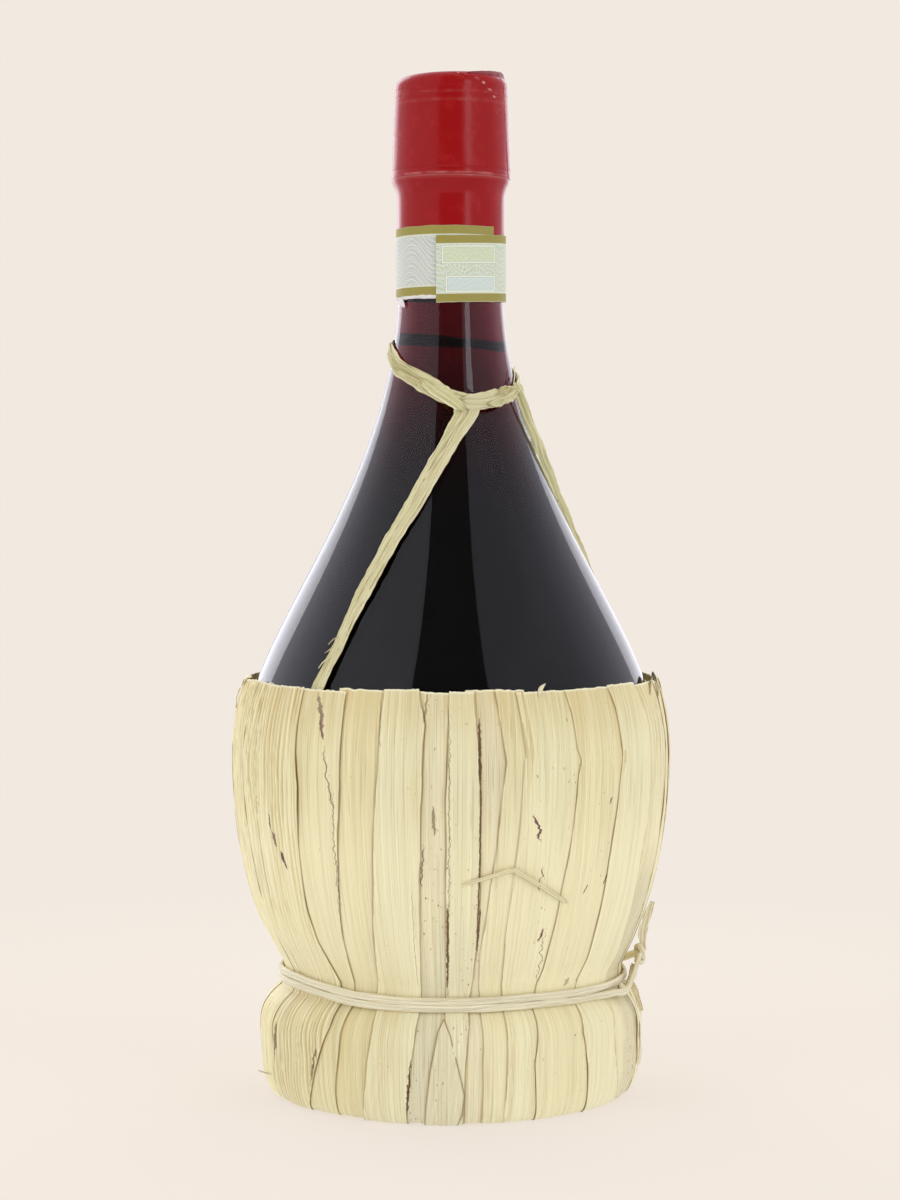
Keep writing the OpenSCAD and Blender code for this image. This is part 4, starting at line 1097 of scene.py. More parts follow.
def seam_at(index, z):
    base = seam_azimuths[index]
    rng = np.random.default_rng(500 + index % len(LEAVES))
    if index in SEAM_STRAY:
        heights, strays = np.array(sorted(SEAM_STRAY[index])).T
        stray = np.interp(z, heights, strays)
    elif index == len(LEAVES):
        heights, strays = np.array(sorted(SEAM_STRAY[0])).T
        stray = np.interp(z, heights, strays)
    else:
        knots = np.array([0, 12, 27, 45, 66, 88, 106])
        stray = np.interp(z, knots, rng.normal(0, 0.9, len(knots)))
    return base + stray + 0.1 * waves(z, 0.0, 900 + index % len(LEAVES), 9.0, 1.0)


print("seams:", len(seam_azimuths), "closing at", round(float(seam_azimuths[-1] - 360), 2))

# %% How deep each blade lies, and how much it is pleated
DEPTH_STEP = 0.24
front_depths = {
    0: 0.1, 1: 0.0, 2: 0.22, 3: 0.44, 4: 0.1, 5: 0.34, 6: 0.12, 7: 0.48, 8: 0.36, 9: 0.24,
    10: 0.12, 11: 0.0, 12: 0.3, 13: 0.15, 31: 0.0, 32: 0.16,
}
depths = [front_depths.get(i, layer * DEPTH_STEP) for i, (_, layer) in enumerate(LEAVES)]
PLEATS = {0: 1.6, 1: 1.15, 32: 1.5, 33: 1.8, 12: 0.4, 13: 0.7, 14: 0.5, 2: 0.2, 20: 0.5, 21: 0.4, 26: 0.6}
AGED = {5: 0.9, 6: 0.75, 7: 0.45, 8: 0.2, 9: 0.35, 10: 0.3, 18: 0.5, 24: 0.6, 30: 0.5}
CASTS = {0: 0.4, 1: 0.25, 2: 0.22, 3: 0.05, 4: 0.55, 5: 0.72, 6: 0.5, 7: 0.98, 8: 0.3, 9: 0.45, 10: 0.15, 11: 0.5, 12: 0.3, 13: 0.6}
# How strong the painted seam shadow is at each seam
SEAMS = {0: 0.7, 1: 0.5, 2: 0.98, 3: 0.65, 5: 0.75, 7: 0.95, 8: 0.6, 9: 0.8, 10: 0.85, 11: 0.8, 12: 0.8}
LAP = 2.4
POINTED = 40


def lap_of(index, side, z):
    """An outer blade's edge lies on the seam, and the edge below it runs on beneath."""
    other = (index + side) % len(LEAVES)
    if depths[index] < depths[other]:
        return np.zeros_like(z)
    return np.full_like(z, LAP)


print("depths from", min(depths), "to", max(depths), "mm")


# %% One blade
def folds(u_mm, width_mm, z, rng):
    """Long tents and valleys pressed into the blade, in mm."""
    lift = np.zeros_like(u_mm)
    for _ in range(max(2, int(width_mm / 2.2))):
        at = rng.uniform(0.08, 0.92) * width_mm + rng.normal(0, 0.012) * (z - 60)
        depth = rng.uniform(0.05, 0.2) * rng.choice([-1, 1, 1])
        half = rng.uniform(0.3, 1.1)
        fade = np.clip(0.5 + 0.8 * np.sin((z - rng.uniform(0, 90)) / rng.uniform(12, 30)), 0, 1)
        lift = lift + depth * fade * np.clip(1 - np.abs(u_mm - at) / half, 0, 1)
    return lift


def pleats(u_mm, z, amount, seed):
    """Fine pleats: their height in mm, and how deep in a valley each point lies."""
    drift = u_mm + 0.7 * waves(z, 0.0, seed, 30.0, 1.0) + 0.2 * waves(z, u_mm, seed + 1, 9.0, 3.0)
    saw = np.abs((drift / 1.5 + 0.5 * waves(u_mm, 0.0, seed + 2, 5.0, 1.0)) % 1 - 0.5) * 2
    strength = np.clip(0.6 + 0.4 * waves(z, u_mm, seed + 3, 24.0, 4.0), 0.1, 1) * amount
    return 0.55 * strength * (saw - 0.5), strength * (np.clip(0.5 - saw, 0, 1) * 2, np.clip(saw - 0.72, 0, 1) * 3)


def sheet(key, width, cut_of, edges_of, depth, pleated, cast, aged):
    """A thin curved sheet along the blade path, between two edge lines."""
    rng = np.random.default_rng(70 + key)
    rows = 132
    cols = max(11, int((width + 2) * 0.965 / 0.34) + 1)
    u = np.linspace(0, 1, cols)[None, :]
    u = 0.5 - 0.5 * np.sign(0.5 - u) * np.abs(1 - 2 * u) ** 0.9
    start = s_at_height(cut_of(u, rng))
    v = np.linspace(0, 1, rows)[:, None]
    s = start + (blade_s[-1] - start) * v
    r, z, out_r, out_z = path_at(s)
    left, right, left_lap, right_lap = edges_of(z)
    a = left + (right - left) * u
    span = (right - left) * 0.965
    u_mm = u * span
    edge_mm = np.minimum(u_mm, span - u_mm)
    seen_edge = np.minimum(u_mm + 9 * (left_lap > 1), span - u_mm + 9 * (right_lap > 1))
    free = smooth_rise(z, WAIST_TOP, WAIST_TOP + 16) + smooth_fall(z, WAIST_LOW - 9, 8) * 0.8
    inner = smooth_rise(edge_mm, 0.1, 1.6)
    crown = rng.uniform(-0.05, 0.16) * (1 - (2 * u - 1) ** 2)
    lift = crown + folds(u_mm, float(span.mean()), z, rng) + 0.1 * waves(u_mm, z, 200 + key, 4.0, 18.0)
    lift = lift - 0.16 * np.exp(-np.abs(z - 87.4 - rng.normal(0, 0.8)) / 0.9) * rng.uniform(0.2, 1.0)
    pleat, (valley, ridge) = pleats(u_mm, z, pleated, 640 + key)
    curl = np.clip(waves(z, 0.0, 260 + key, 14.0, 1.0), 0, 1) * np.exp(-seen_edge / 0.6)
    lift = (lift * inner + pleat * np.minimum(inner + 0.3, 1) + 0.2 * curl) * (0.2 + 0.8 * free)
    lift = np.clip(lift, -0.25, 0.5)
    thin = 0.22 * (0.35 + 0.65 * np.clip(edge_mm / 0.6, 0, 1))
    sides = []
    for offset in (lift - depth, np.minimum(lift, 0.1) - depth - thin):
        pr = r + out_r * offset
        pz = np.maximum(z + out_z * offset, 0.0)
        sides.append(np.stack([pr * np.cos(np.radians(a)), pr * np.sin(np.radians(a)), pz], -1))
    loop = np.concatenate([sides[0], sides[1][:, ::-1]], axis=1)
    full = 2 * cols
    faces = list(grid_faces(rows, full, close_cols=True))
    for row in (0, rows - 1):
        base = row * full
        faces += [[base + i, base + i + 1, base + full - 2 - i, base + full - 1 - i] for i in range(cols - 1)]

    def both(values):
        values = np.broadcast_to(values, z.shape if np.ndim(values) < 3 else (*z.shape, 2))
        return np.concatenate([values, values[:, ::-1]], axis=1)

    buried = np.minimum(u_mm + 9 * (left_lap < 1), span - u_mm + 9 * (right_lap < 1)) - LAP * 0.965
    shade = 0.8 * np.clip(1 - buried / 1.3, 0, 1) ** 1.5
    shade = shade * (0.5 + 0.4 * np.clip(waves(z, 0.0, 420 + key, 20.0, 1.0), -1, 1)) + 1.15 * valley
    broken = np.clip(0.75 + 0.4 * waves(z, 0.0, 460 + key, 13.0, 1.0), 0.25, 1)
    strong = SEAMS.get(key, 0.5)
    covered = 0.24 * np.clip(np.abs(np.tan(np.radians(a + 90))), 0, 1.2)
    from_left = u_mm + 9 * (left_lap < 1) - LAP * 0.965 - covered * (a > -90)
    from_right = span - u_mm + 9 * (right_lap < 1) - LAP * 0.965 - covered * (a < -90)
    from_seam = np.minimum(np.abs(from_left - 0.03), np.abs(from_right - 0.03))
    # Painted seam shadow along each lap, strongest right at the seam and broken along its length; round the pointed
    # blade it follows that blade's edges
    groove = 1.1 * strong * broken * np.clip(1.2 - from_seam / (0.1 + 0.14 * strong), 0, 1)
    if key == POINTED:
        groove = np.clip(0.2 + broken, 0.5, 0.9) * np.clip(1.4 - edge_mm / 0.34, 0, 1)
    shade = shade + 0.36 * smooth_rise(z, 88, 104) + 0.12 * smooth_fall(z, 32, 12) * (a < -105)
    # Painted light from below: paler over the lower belly above the tie and on the foot at the right, with a slight
    # paling everywhere
    toward_right = np.clip((a + 100) / 40, 0, 1)
    painted_light_from_below = 0.03 + 0.4 * smooth_fall(z, 62, 22) * smooth_rise(z, 26, 33)
    painted_light_from_below = painted_light_from_below + smooth_fall(z, 32, 5) * 0.3 * toward_right
    rubbed = (key == 12) * smooth_rise(a, -28.5, -26.5) * smooth_fall(z, 50, 18)
    mottled = 0.75 + 0.5 * waves(u_mm, z, 480 + key, 1.2, 9.0)
    shade = shade + 0.45 * rubbed * mottled
    in_foot = smooth_fall(z, 34, 24)
    weathered = 0.8 * rubbed + (key in (5, 6)) * (0.22 + 0.45 * in_foot) + (key == POINTED) * 0.5
    values = {
        "edge_mm": np.minimum(seen_edge + 9.0 * (key == POINTED), 9.0),
        "cut_mm": s - start,
        "turn_deg": a,
        "height_mm": z,
        "shade": np.clip(shade, 0, 1),
        "groove": groove,
        # Pleat ridges and the light from below, both painted highlight, less where the blade is weathered
        "ridge": np.clip(1.2 * ridge + painted_light_from_below * (1 - 0.9 * np.clip(weathered, 0, 1)), 0, 1),
        "cast": np.full(z.shape, cast),
        "aged": np.full(z.shape, aged) + rubbed,
        "weathered": np.clip(weathered * mottled, 0, 1),
    }
    made = {"points": leaned(loop.reshape(-1, 3)), "faces": faces}
    made["lie"] = both(np.stack([a * 0.965 + 37.0 * key, s + 11.0 * key], -1)).reshape(-1, 2)
    made.update({name: both(value).ravel() for name, value in values.items()})
    return made


# %% A blade between its seams
def blade(index):
    width, _ = LEAVES[index]
    top = COVER_H + 0.35 * math.sin(math.radians(97 * (index + 1))) - 0.1
    cast = CASTS.get(index, np.random.default_rng(index).uniform(0, 0.9))

    def cut_of(u, rng):
        lean = rng.normal(0, 0.15)
        return top + lean * (2 * u - 1) + 0.13 * waves(u * width, 0, 300 + index, 0.9, 1.0)

    def edges_of(z):
        left_lap, right_lap = lap_of(index, -1, z), lap_of(index, 1, z)
        return seam_at(index, z) - left_lap, seam_at(index + 1, z) + right_lap, left_lap, right_lap

    return sheet(index, width, cut_of, edges_of, depths[index], PLEATS.get(index, 0.12), cast, AGED.get(index, 0.0))


def pointed_blade():
    """The short pointed blade that is let in over the foot in front."""
    def edges_of(z):
        left = np.interp(z, [0, 13.2, 22.4, 25.4], [-98.0, -96.0, -93.8, -92.1])
        right = np.interp(z, [0, 3.0, 7.5, 13.2, 21.5, 25.4], [-88.0, -86.6, -86.0, -87.6, -90.0, -92.1])
        return left, np.maximum(right, left + 0.2), np.zeros_like(z), np.zeros_like(z)

    return sheet(POINTED, 9.0, lambda u, rng: 25.5 + 0 * u, edges_of, -0.1, 0.25, 0.9, 0.6)


# %% Lay all the blades
faces_laid = 0
for index in range(len(LEAVES)):
    node_name = f"leaf_{index + 1:02d}"
    part = blade(index)
    add_piece(f"straw_blade_{index + 1:02d}", part, straw, "flask", [node_name], sharp=35)
    faces_laid += len(part["faces"])
add_piece("straw_pointed_blade", pointed_blade(), straw, "flask", [], sharp=35)
print("blades laid:", len(LEAVES), "with", faces_laid, "faces")

# %% [markdown]
# Between cover and glass the short ends of an inner layer lean on the glass. They
# close the gap at the rim, which would otherwise show as a black wedge at the sides.


# %% Rim lining
def rim_lining():
    steps, rows = 720, 12
    turn = np.linspace(0, 360, steps, endpoint=False)[:, None]
    share = np.linspace(0, 1, rows)[None, :]
    low = (float(cover_r(97.5)) - LEAF_STACK - 0.5, 97.5)
    tips = 103.2 + 0.45 * waves(turn, 0, 951, 5.0, 1.0) + 0.2 * waves(turn, 0, 952, 1.2, 1.0)
    z = low[1] + (tips - low[1]) * share
    lean = smooth_step(share) * 0.85
    r = (1 - lean) * (cover_r(z) - LEAF_STACK - 0.4) + lean * (glass_r(z) + 0.5)
    r = r + 0.12 * waves(turn * 0.9, z, 953, 2.0, 6.0)
    a = np.radians(turn)
    layers = [np.stack([(r - t) * np.cos(a), (r - t) * np.sin(a), z + 0 * r], -1) for t in (0.0, 0.18)]
    loop = np.concatenate([layers[0], layers[1][:, ::-1]], axis=1)
    faces = list(grid_faces(steps, 2 * rows, close_rows=True, close_cols=True))
    lie = np.stack(np.broadcast_arrays(turn * 0.9, z), -1)
    made = {"points": loop.reshape(-1, 3), "faces": faces}
    made["lie"] = np.concatenate([lie, lie[:, ::-1]], axis=1).reshape(-1, 2)
    values = {"edge_mm": 9.0, "cut_mm": 4.0, "turn_deg": 300.0, "height_mm": 0.0, "cast": 0.3, "shade": 0.25}
    made.update({key: np.full(len(made["points"]), value) for key, value in values.items()})
    return made


add_piece("straw_rim_lining", rim_lining(), straw, "flask", [], sharp=40)
print("rim lining made")

# %% [markdown]
# ## Raffia
# The neck loop, its hitches and the braces are strips of raffia: a thin leaf skin,
# folded along its length and crumpled by the tying. Each is built as a strip whose
# cross section zigzags, with the folds drifting from side to side along the line.


# %% Smooth line through stations
def smooth_line(stations, step=0.7, closed=False):
    """Catmull-Rom through rows of numbers, resampled to about one step."""
    stations = np.array(stations, float)
    n = len(stations)
    rows = []
    for i in range(n if closed else n - 1):
        ids = [i - 1, i, i + 1, i + 2]
        ids = [k % n for k in ids] if closed else [min(max(k, 0), n - 1) for k in ids]
        p0, p1, p2, p3 = stations[ids]
        pieces = max(2, int(np.linalg.norm((p2 - p1)[:3]) / step))
        for t in np.arange(pieces) / pieces:
            rows.append(hermite(t, p1, (p2 - p0) / 2, p2, (p3 - p1) / 2))
    if not closed:
        rows.append(stations[-1])
    return np.array(rows)


def frame_along(centers, outs, closed=False):
    along = np.roll(centers, -1, 0) - np.roll(centers, 1, 0) if closed else np.gradient(centers, axis=0)
    along /= np.linalg.norm(along, axis=1)[:, None]
    outs = outs - along * np.sum(outs * along, 1)[:, None]
    outs = outs / np.linalg.norm(outs, axis=1)[:, None]
    length = np.concatenate([[0], np.cumsum(np.linalg.norm(np.diff(centers, axis=0), axis=1))])
    return np.cross(along, outs), outs, length


def plain_values(shape, edge_mm, seed, shade=0.0):
    cast = np.random.default_rng(seed).uniform(0, 1)
    return {"edge_mm": np.broadcast_to(edge_mm, shape), "shade": np.full(shape, shade), "cast": np.full(shape, cast)}


print("line helpers ready")


# %% Raffia strip
def raffia_strip(centers, outs, half_width, thick, seed, folds=2.5, closed=False, twist=0.0, taper=0.0, crumple=0.0):
    cols, thin = 23, 0.09
    across, outs, length = frame_along(centers, outs, closed)
    n = len(centers)
    ring = 2 * math.pi * length / max(length[-1], 1e-6)

    def drift(key, size):
        if closed:
            return waves(12 * np.cos(ring), 12 * np.sin(ring), key, size, size)[:, None]
        return waves(length, 0.0, key, size, 1.0)[:, None]

    s = np.linspace(-1, 1, cols)[None, :]
    half = np.atleast_1d(half_width)
    half = np.interp(length / length[-1], np.linspace(0, 1, len(half)), half)[:, None]
    zigzag = 4 * np.abs(((s * folds / 2 + 0.45 * drift(seed, 12.0)) % 1) - 0.5) - 1
    height = thick * 0.5 * zigzag * (0.7 + 0.3 * drift(seed + 1, 7.0)) - thick * 0.3 * s**2
    height = height + crumple * 0.3 * waves(length[:, None], s * half, seed + 5, 1.6, 0.9)
    width = half * (1 + 0.1 * drift(seed + 2, 8.0) + 0.22 * crumple * drift(seed + 7, 2.5))
    ragged = 0.05 + 0.12 * crumple
    width = width * (1 + ragged * np.abs(s) ** 3 * np.where(s > 0, drift(seed + 8, 2.0), drift(seed + 9, 2.0)))
    if taper:
        ends = np.minimum(length, length[-1] - length)[:, None]
        width = width * np.clip(0.2 + 0.8 * ends / taper, 0, 1)
    roll = twist * drift(seed + 3, 18.0)
    x = s * width
    sides = []
    for sign in (1, -1):
        y = height + sign * thin * np.clip((1 - np.abs(s)) * 5, 0.25, 1)
        turned_x, turned_y = x * np.cos(roll) - y * np.sin(roll), x * np.sin(roll) + y * np.cos(roll)
        sides.append(centers[:, None] + across[:, None] * turned_x[..., None] + outs[:, None] * turned_y[..., None])
    loop = np.concatenate([sides[0], sides[1][:, ::-1]], axis=1)
    full = 2 * cols
    faces = list(grid_faces(n, full, close_rows=closed, close_cols=True))
    for row in () if closed else (0, n - 1):
        base = row * full
        faces += [[base + i, base + i + 1, base + full - 2 - i, base + full - 1 - i] for i in range(cols - 1)]
    valley = np.clip(-zigzag, 0, 1) ** 2
    lie = np.stack([x + 31.0 * seed, np.broadcast_to(length[:, None], x.shape) + 7.0 * seed], -1)
    values = plain_values(x.shape, (1 - np.abs(s)) * width + 0.1, seed)
    values["shade"] = 0.16 * valley + 0.2 * crumple * np.clip(drift(seed + 11, 5.0), 0, 1)
    made = {"points": loop.reshape(-1, 3), "faces": faces}
    made["lie"] = np.concatenate([lie, lie[:, ::-1]], axis=1).reshape(-1, 2)
    for key, value in values.items():
        made[key] = np.concatenate([value, value[:, ::-1]], axis=1).ravel()
    return made


# %% Laying things on glass and cover
def normals_at(azimuth, slope):
    a = np.radians(azimuth)
    v = np.stack([np.cos(a), np.sin(a), -slope], -1)
    return v / np.linalg.norm(v, axis=-1)[:, None]


def lay_on(radius_at, azimuth, z, lift):
    azimuth, z, lift = np.broadcast_arrays(np.atleast_1d(azimuth) * 1.0, z, lift)
    out = normals_at(azimuth, radius_at(z + 0.5) - radius_at(z - 0.5))
    a, r = np.radians(azimuth), radius_at(z)
    return np.stack([r * np.cos(a), r * np.sin(a), z], -1) + lift[:, None] * out, out


def on_glass(azimuth, z, lift):
    return lay_on(glass_r, azimuth, z, lift)


def on_cover(azimuth, z, lift):
    return lay_on(cover_r, azimuth, z, lift)


def strip_on(surface, stations, half_width, thick, seed, **ways):
    rows = smooth_line(stations, ways.pop("step", 0.25))
    centers, outs = surface(rows[:, 0], rows[:, 1], rows[:, 2])
    return raffia_strip(centers, outs, half_width, thick, seed, **ways)


print("laying helpers ready")

# %% Neck loop
JOINT_A, LOOP_Z, SIDE_A = -78.0, 182.0, -14.0
LOOP_W, LOOP_T = 3.8, 1.1
LOOP_LIFT = LOOP_T / 2 + 0.3


LOOP_LINE = [
    (-180, 187.2), (-164.7, 185.2), (-154, 183.5), (-149, 182.6), (-130, 180.5), (-112, 177.8), (-95, 174.8),
    (-80, 173.0), (-66, 172.6), (-52, 173.8), (-40, 175.1), (-27, 175.8), (-10, 177.2), (15, 180.2), (45, 184.2),
    (75, 187.2), (105, 188.7), (140, 188.6),
]
turn_at, height_at = np.array(LOOP_LINE, float).T
even = np.arange(-180, 180.0)
rough_line = np.interp(even, turn_at, height_at, period=360)
soften = np.exp(-((np.arange(-12, 13) / 5.0) ** 2))
loop_even = np.convolve(np.concatenate([rough_line[-12:], rough_line, rough_line[:12]]), soften / soften.sum(), "valid")


def loop_height(a):
    return np.interp(a, even, loop_even, period=360)


round_a = np.linspace(180, -180, 300, endpoint=False)
loop_parts = []
LOOP_HALF = (1.9, 1.5, 1.35, 1.3, 1.35, 1.5, 1.9, 2.1, 2.1, 1.9)
for shift, lift_by, half, seed in ((0.0, 0.0, LOOP_HALF, 11), (0.7, 0.3, 0.75, 12), (-0.8, 0.25, 0.5, 13)):
    wander = shift + 0.3 * waves(12 * np.cos(np.radians(round_a)), 12 * np.sin(np.radians(round_a)), seed, 9.0, 9.0)
    centers, outs = on_glass(round_a, loop_height(round_a) + wander, LOOP_LIFT + lift_by)
    loop_parts.append(raffia_strip(centers, outs, half, 0.6, seed, 3.0, closed=True, twist=0.1, crumple=0.25))
add_piece("raffia_neck_loop", join_grids(loop_parts), raffia, "flask", ["neck_loop"], sharp=30)
print("loop made")

# %% Hitches
HITCH_LIFT = LOOP_LIFT + LOOP_T + 0.2


def hitch(stations, half, seed, crumple=1.0):
    rows = [(turn, float(loop_height(turn)) + h, HITCH_LIFT - d) for turn, h, d in stations]
    return strip_on(on_glass, rows, half, 0.7, seed, folds=3.0, taper=2.0, twist=0.3, crumple=crumple)


front = [
    hitch([(-84, -0.2, 0.3), (-76, -0.2, 0), (-66, 0, 0), (-52, 0, 0), (-40, 0, 0), (-28, 0, 0.2)],
          (1.2, 2.0, 2.15, 2.2, 2.0, 1.7), 21, 0.35),
    hitch([(-116, 0.3, 1.0), (-104, 0.1, 0.5), (-94, -0.3, 0.1), (-86, -1.4, -0.1), (-80, -2.9, 0.1)],
          (1.3, 1.8, 2.1, 2.1, 1.5), 22, 0.12),
    hitch([(-64, -1.0, -0.5), (-57, -1.3, -0.7), (-50, -1.0, -0.5)], (0.6, 0.9, 0.6), 23, 0.5),
    hitch([(-56, 0.9, -0.4), (-46, 1.1, -0.5), (-35, 0.8, -0.1)], (0.5, 0.8, 0.5), 24, 0.5),
]
add_piece("raffia_front_hitch", join_grids(front), raffia, "flask", ["loop_hitch"], sharp=30)
side = [
    hitch([(-33, 0.3, 0.6), (-23, 0.4, 0.4), (-13, 0.2, 0.7), (-4, 0.3, 1.1)], (1.2, 1.5, 1.4, 0.9), 25, 0.3),
    hitch([(-28, -0.9, 0.3), (-19, -0.6, 0.1), (-9, 0.1, 0.7)], (0.8, 1.0, 0.6), 26, 0.4),
]
add_piece("raffia_side_hitch", join_grids(side), raffia, "flask", ["side_hitch"], sharp=30)
print("hitches made")

# %% Braces
BRACE_T = 1.1
BRACE_LIFT = BRACE_T / 2 + 0.3
BINDING_Z, BINDING_D = 98.0, 1.1


def kept_outside(line):
    """Push a line out to where it clears the glass."""
    for q in line:
        least = float(glass_r(q[2])) + BRACE_LIFT * math.hypot(1, float(glass_slope(q[2])))
        reach = math.hypot(q[0], q[1])
        if reach < least:
            q[:2] *= least / reach
    return line


BRACE_LEFT = [
    (-89, 172.6), (-87.7, 170.1), (-93.1, 166.6), (-101.6, 160.6), (-107.5, 155.1), (-114.4, 147), (-120.8, 137.3),
    (-126.5, 124.7), (-129, 112.8), (-132.2, 104.6), (-132.6, 101.5), (-132.6, 98.9),
]
BRACE_RIGHT = [
    (-70, 172.6), (-69.8, 170.2), (-79.9, 164.9), (-88.8, 159.4), (-95.6, 155.1), (-103.2, 148.1), (-112.6, 138.9),
    (-121.1, 122.4), (-124.7, 111.7), (-127.2, 104.3), (-127.6, 101.5), (-127.6, 98.9),
]


def brace(name, share, widen, seed, stands_for):
    """A strand between the two outlines of the pair: share 0 is the left one, 1 the right."""
    left, right = np.array(BRACE_LEFT), np.array(BRACE_RIGHT)
    middle = left + (right - left) * share
    apart = np.radians(right[:, 0] - left[:, 0]) * glass_r(middle[:, 1])
    rise = np.gradient(middle[:, 1]) / np.hypot(np.gradient(middle[:, 1]), 0.45 * np.gradient(middle[:, 0]))
    half = widen * 0.5 * np.abs(apart * rise)
    lift = np.full(len(middle), BRACE_LIFT + 0.3 * share)
    lift[0] = HITCH_LIFT - 0.3
    rows = smooth_line(np.column_stack([middle, lift, half]), 0.4)
    centers, outs = on_glass(rows[:, 0], rows[:, 1], rows[:, 2])
    centers = kept_outside(centers)
    main = raffia_strip(centers, outs, rows[:, 3], 0.5, seed, 2.2, twist=0.12, crumple=0.2)
    slim = raffia_strip(centers + outs * 0.15, outs, 0.45 * rows[:, 3], 0.3, seed + 1, 1.5, twist=0.25, crumple=0.25)
    add_piece(name, join_grids([main, slim]), raffia, "flask", [stands_for], sharp=30)


brace("raffia_brace_upper", 0.7, 0.66, 31, "front_brace_upper")
brace("raffia_brace_lower", 0.27, 0.56, 33, "front_brace_lower")
print("front braces made")

# %% Side brace
side_line = smooth_line([
    (15.9, -8.0, 177.6), (17.4, -7.8, 174.8), (19.6, -6.2, 168.5), (22.6, -3.6, 161.6), (25.4, -0.6, 154.6),
    (28.9, 3.2, 146.2), (32.2, 6.6, 138.3), (37.0, 11.2, 126.5), (42.5, 16.0, 114.6), (46.4, 19.5, 105.0),
    (46.9, 19.9, 102.0), (47.8, 20.3, 98.9),
], 0.6)
side_line = kept_outside(side_line)
facing = normals_at(np.linspace(-72, -15, len(side_line)), np.zeros(len(side_line)))
side_brace = raffia_strip(side_line, facing, (1.1, 1.5, 1.5, 1.3, 1.05, 0.9), 0.5, 35, 2.2, twist=0.12, crumple=0.25)
add_piece("raffia_brace_side", side_brace, raffia, "flask", ["side_brace"], sharp=30)
print("side brace made")

# %% [markdown]
# ## Waist tie
# One strand goes round the waist twice and is knotted at the right. It is a softer,
# paler raffia than the loop, drawn tight, so its turns press flat against each other.
# It is built as an oval tube whose lengthwise ridges roll slowly round it.


# %% Twisted strand
def twisted_strand(centers, outs, radius, seed, turns_per_mm=0.02, ridges=5, flat=0.8):
    cols = 28
    across, outs, length = frame_along(centers, outs)
    phi = np.linspace(0, 2 * math.pi, cols, endpoint=False)[None, :]
    roll = (2 * math.pi * turns_per_mm * length + 0.8 * waves(length, 0.0, seed, 20.0, 1.0))[:, None]
    ridge = np.abs(np.sin((phi + roll) * ridges / 2))
    size = radius * (0.86 + 0.14 * ridge + 0.06 * waves(length, 0.0, seed + 1, 6.0, 1.0)[:, None])
    ends = np.minimum(length, length[-1] - length)[:, None]
    size = size * np.clip(0.35 + ends / (2 * radius), 0, 1)
    ring = across[:, None] * (size * np.sin(phi))[..., None] + outs[:, None] * (flat * size * np.cos(phi))[..., None]
    n, shape = len(centers), size.shape
    faces = list(grid_faces(n, cols, close_cols=True))
    faces += [list(range(cols)), list(range((n - 1) * cols + cols - 1, (n - 1) * cols - 1, -1))]
    lie = np.stack([(phi + roll) * radius + 31.0 * seed, np.broadcast_to(length[:, None], shape) + 5.0 * seed], -1)
    made = {"points": (centers[:, None] + ring).reshape(-1, 3), "faces": faces, "lie": lie.reshape(-1, 2)}
    values = plain_values(shape, 0.2 + 0.5 * ridge, seed)
    values["shade"] = 0.5 * (1 - ridge) ** 2
    made.update({key: value.ravel() for key, value in values.items()})
    return made


# %% Tie
TIE_R, TIE_PITCH, KNOT_A = 0.65, 1.8, -5.0
KNOT_Z = WAIST_Z + 4.6
KNOT_BIG, KNOT_SMALL, KNOT_STRAND = 1.5, 0.8, 0.42
KNOT_LIFT = KNOT_SMALL + KNOT_STRAND + 0.3 + 2.0
TIE_CROSS = TIE_R + 0.3 + WAIST_R * (1 / math.cos(math.pi / 24) - 1) + 2 * TIE_R + 0.6
knot_turn = math.radians(KNOT_A)
knot_out = np.array([math.cos(knot_turn), math.sin(knot_turn), 0.0])
knot_side = np.array([-math.sin(knot_turn), math.cos(knot_turn), 0.0])
knot_center = knot_out * (float(cover_r(KNOT_Z)) + KNOT_LIFT) + np.array([0, 0, KNOT_Z])
KNOT_REACH = KNOT_BIG + KNOT_SMALL + KNOT_STRAND + 0.1


def tie_line():
    u = np.linspace(0, 1, 720)
    turn = 720 * u
    degrees = KNOT_A + 7.5 + turn * (1 - 15 / 720)
    a = np.radians(degrees)
    front = np.array([-190, -165, -150, -137, -123, -108, -90, -63, -31, 0, 60, 170])
    wander = np.array([0.2, 1.0, 1.2, 0.7, -0.2, -0.6, -0.5, -0.1, -0.3, 0.0, 0.3, 0.2])
    z = WAIST_Z - 0.3 + TIE_PITCH * (1 - turn / 360) + np.interp((degrees + 190) % 360 - 190, front, wander)
    z = z + 0.1 * waves(turn, 0.0, 61, 60.0, 1.0)
    lift = TIE_R * 0.75 + 0.2 + 0.05 * waves(turn, 0.0, 62, 40.0, 1.0)
    lift = lift + (TIE_CROSS - lift) * smooth_rise(u, 0.96, 0.995)
    reach = cover_r(z) + lift
    body = np.stack([reach * np.cos(a), reach * np.sin(a), z], -1)
    ends = [knot_center + side * (KNOT_REACH + far) * knot_side for side, far in ((1, 0), (1, 1.3), (-1, 1.3), (-1, 0))]
    tail_in = smooth_line([ends[0], ends[1], body[8], body[16]], 0.5)[:-1]
    tail_out = smooth_line([body[-16], body[-8], ends[2], ends[3]], 0.5)[1:]
    line = np.concatenate([tail_in, body[16:-16], tail_out])
    outs = line * np.array([1.0, 1.0, 0.0])
    return line, outs / np.linalg.norm(outs, axis=1)[:, None]


line, outs = tie_line()
tie = twisted_strand(line, outs, 0.98, 63, 0.006, 6, 0.62)
tie["points"] = leaned(tie["points"])
add_piece("raffia_waist_tie", tie, tie_straw, "flask", ["waist_tie"])
print("tie length in mm:", round(float(np.linalg.norm(np.diff(line, axis=0), axis=1).sum())))

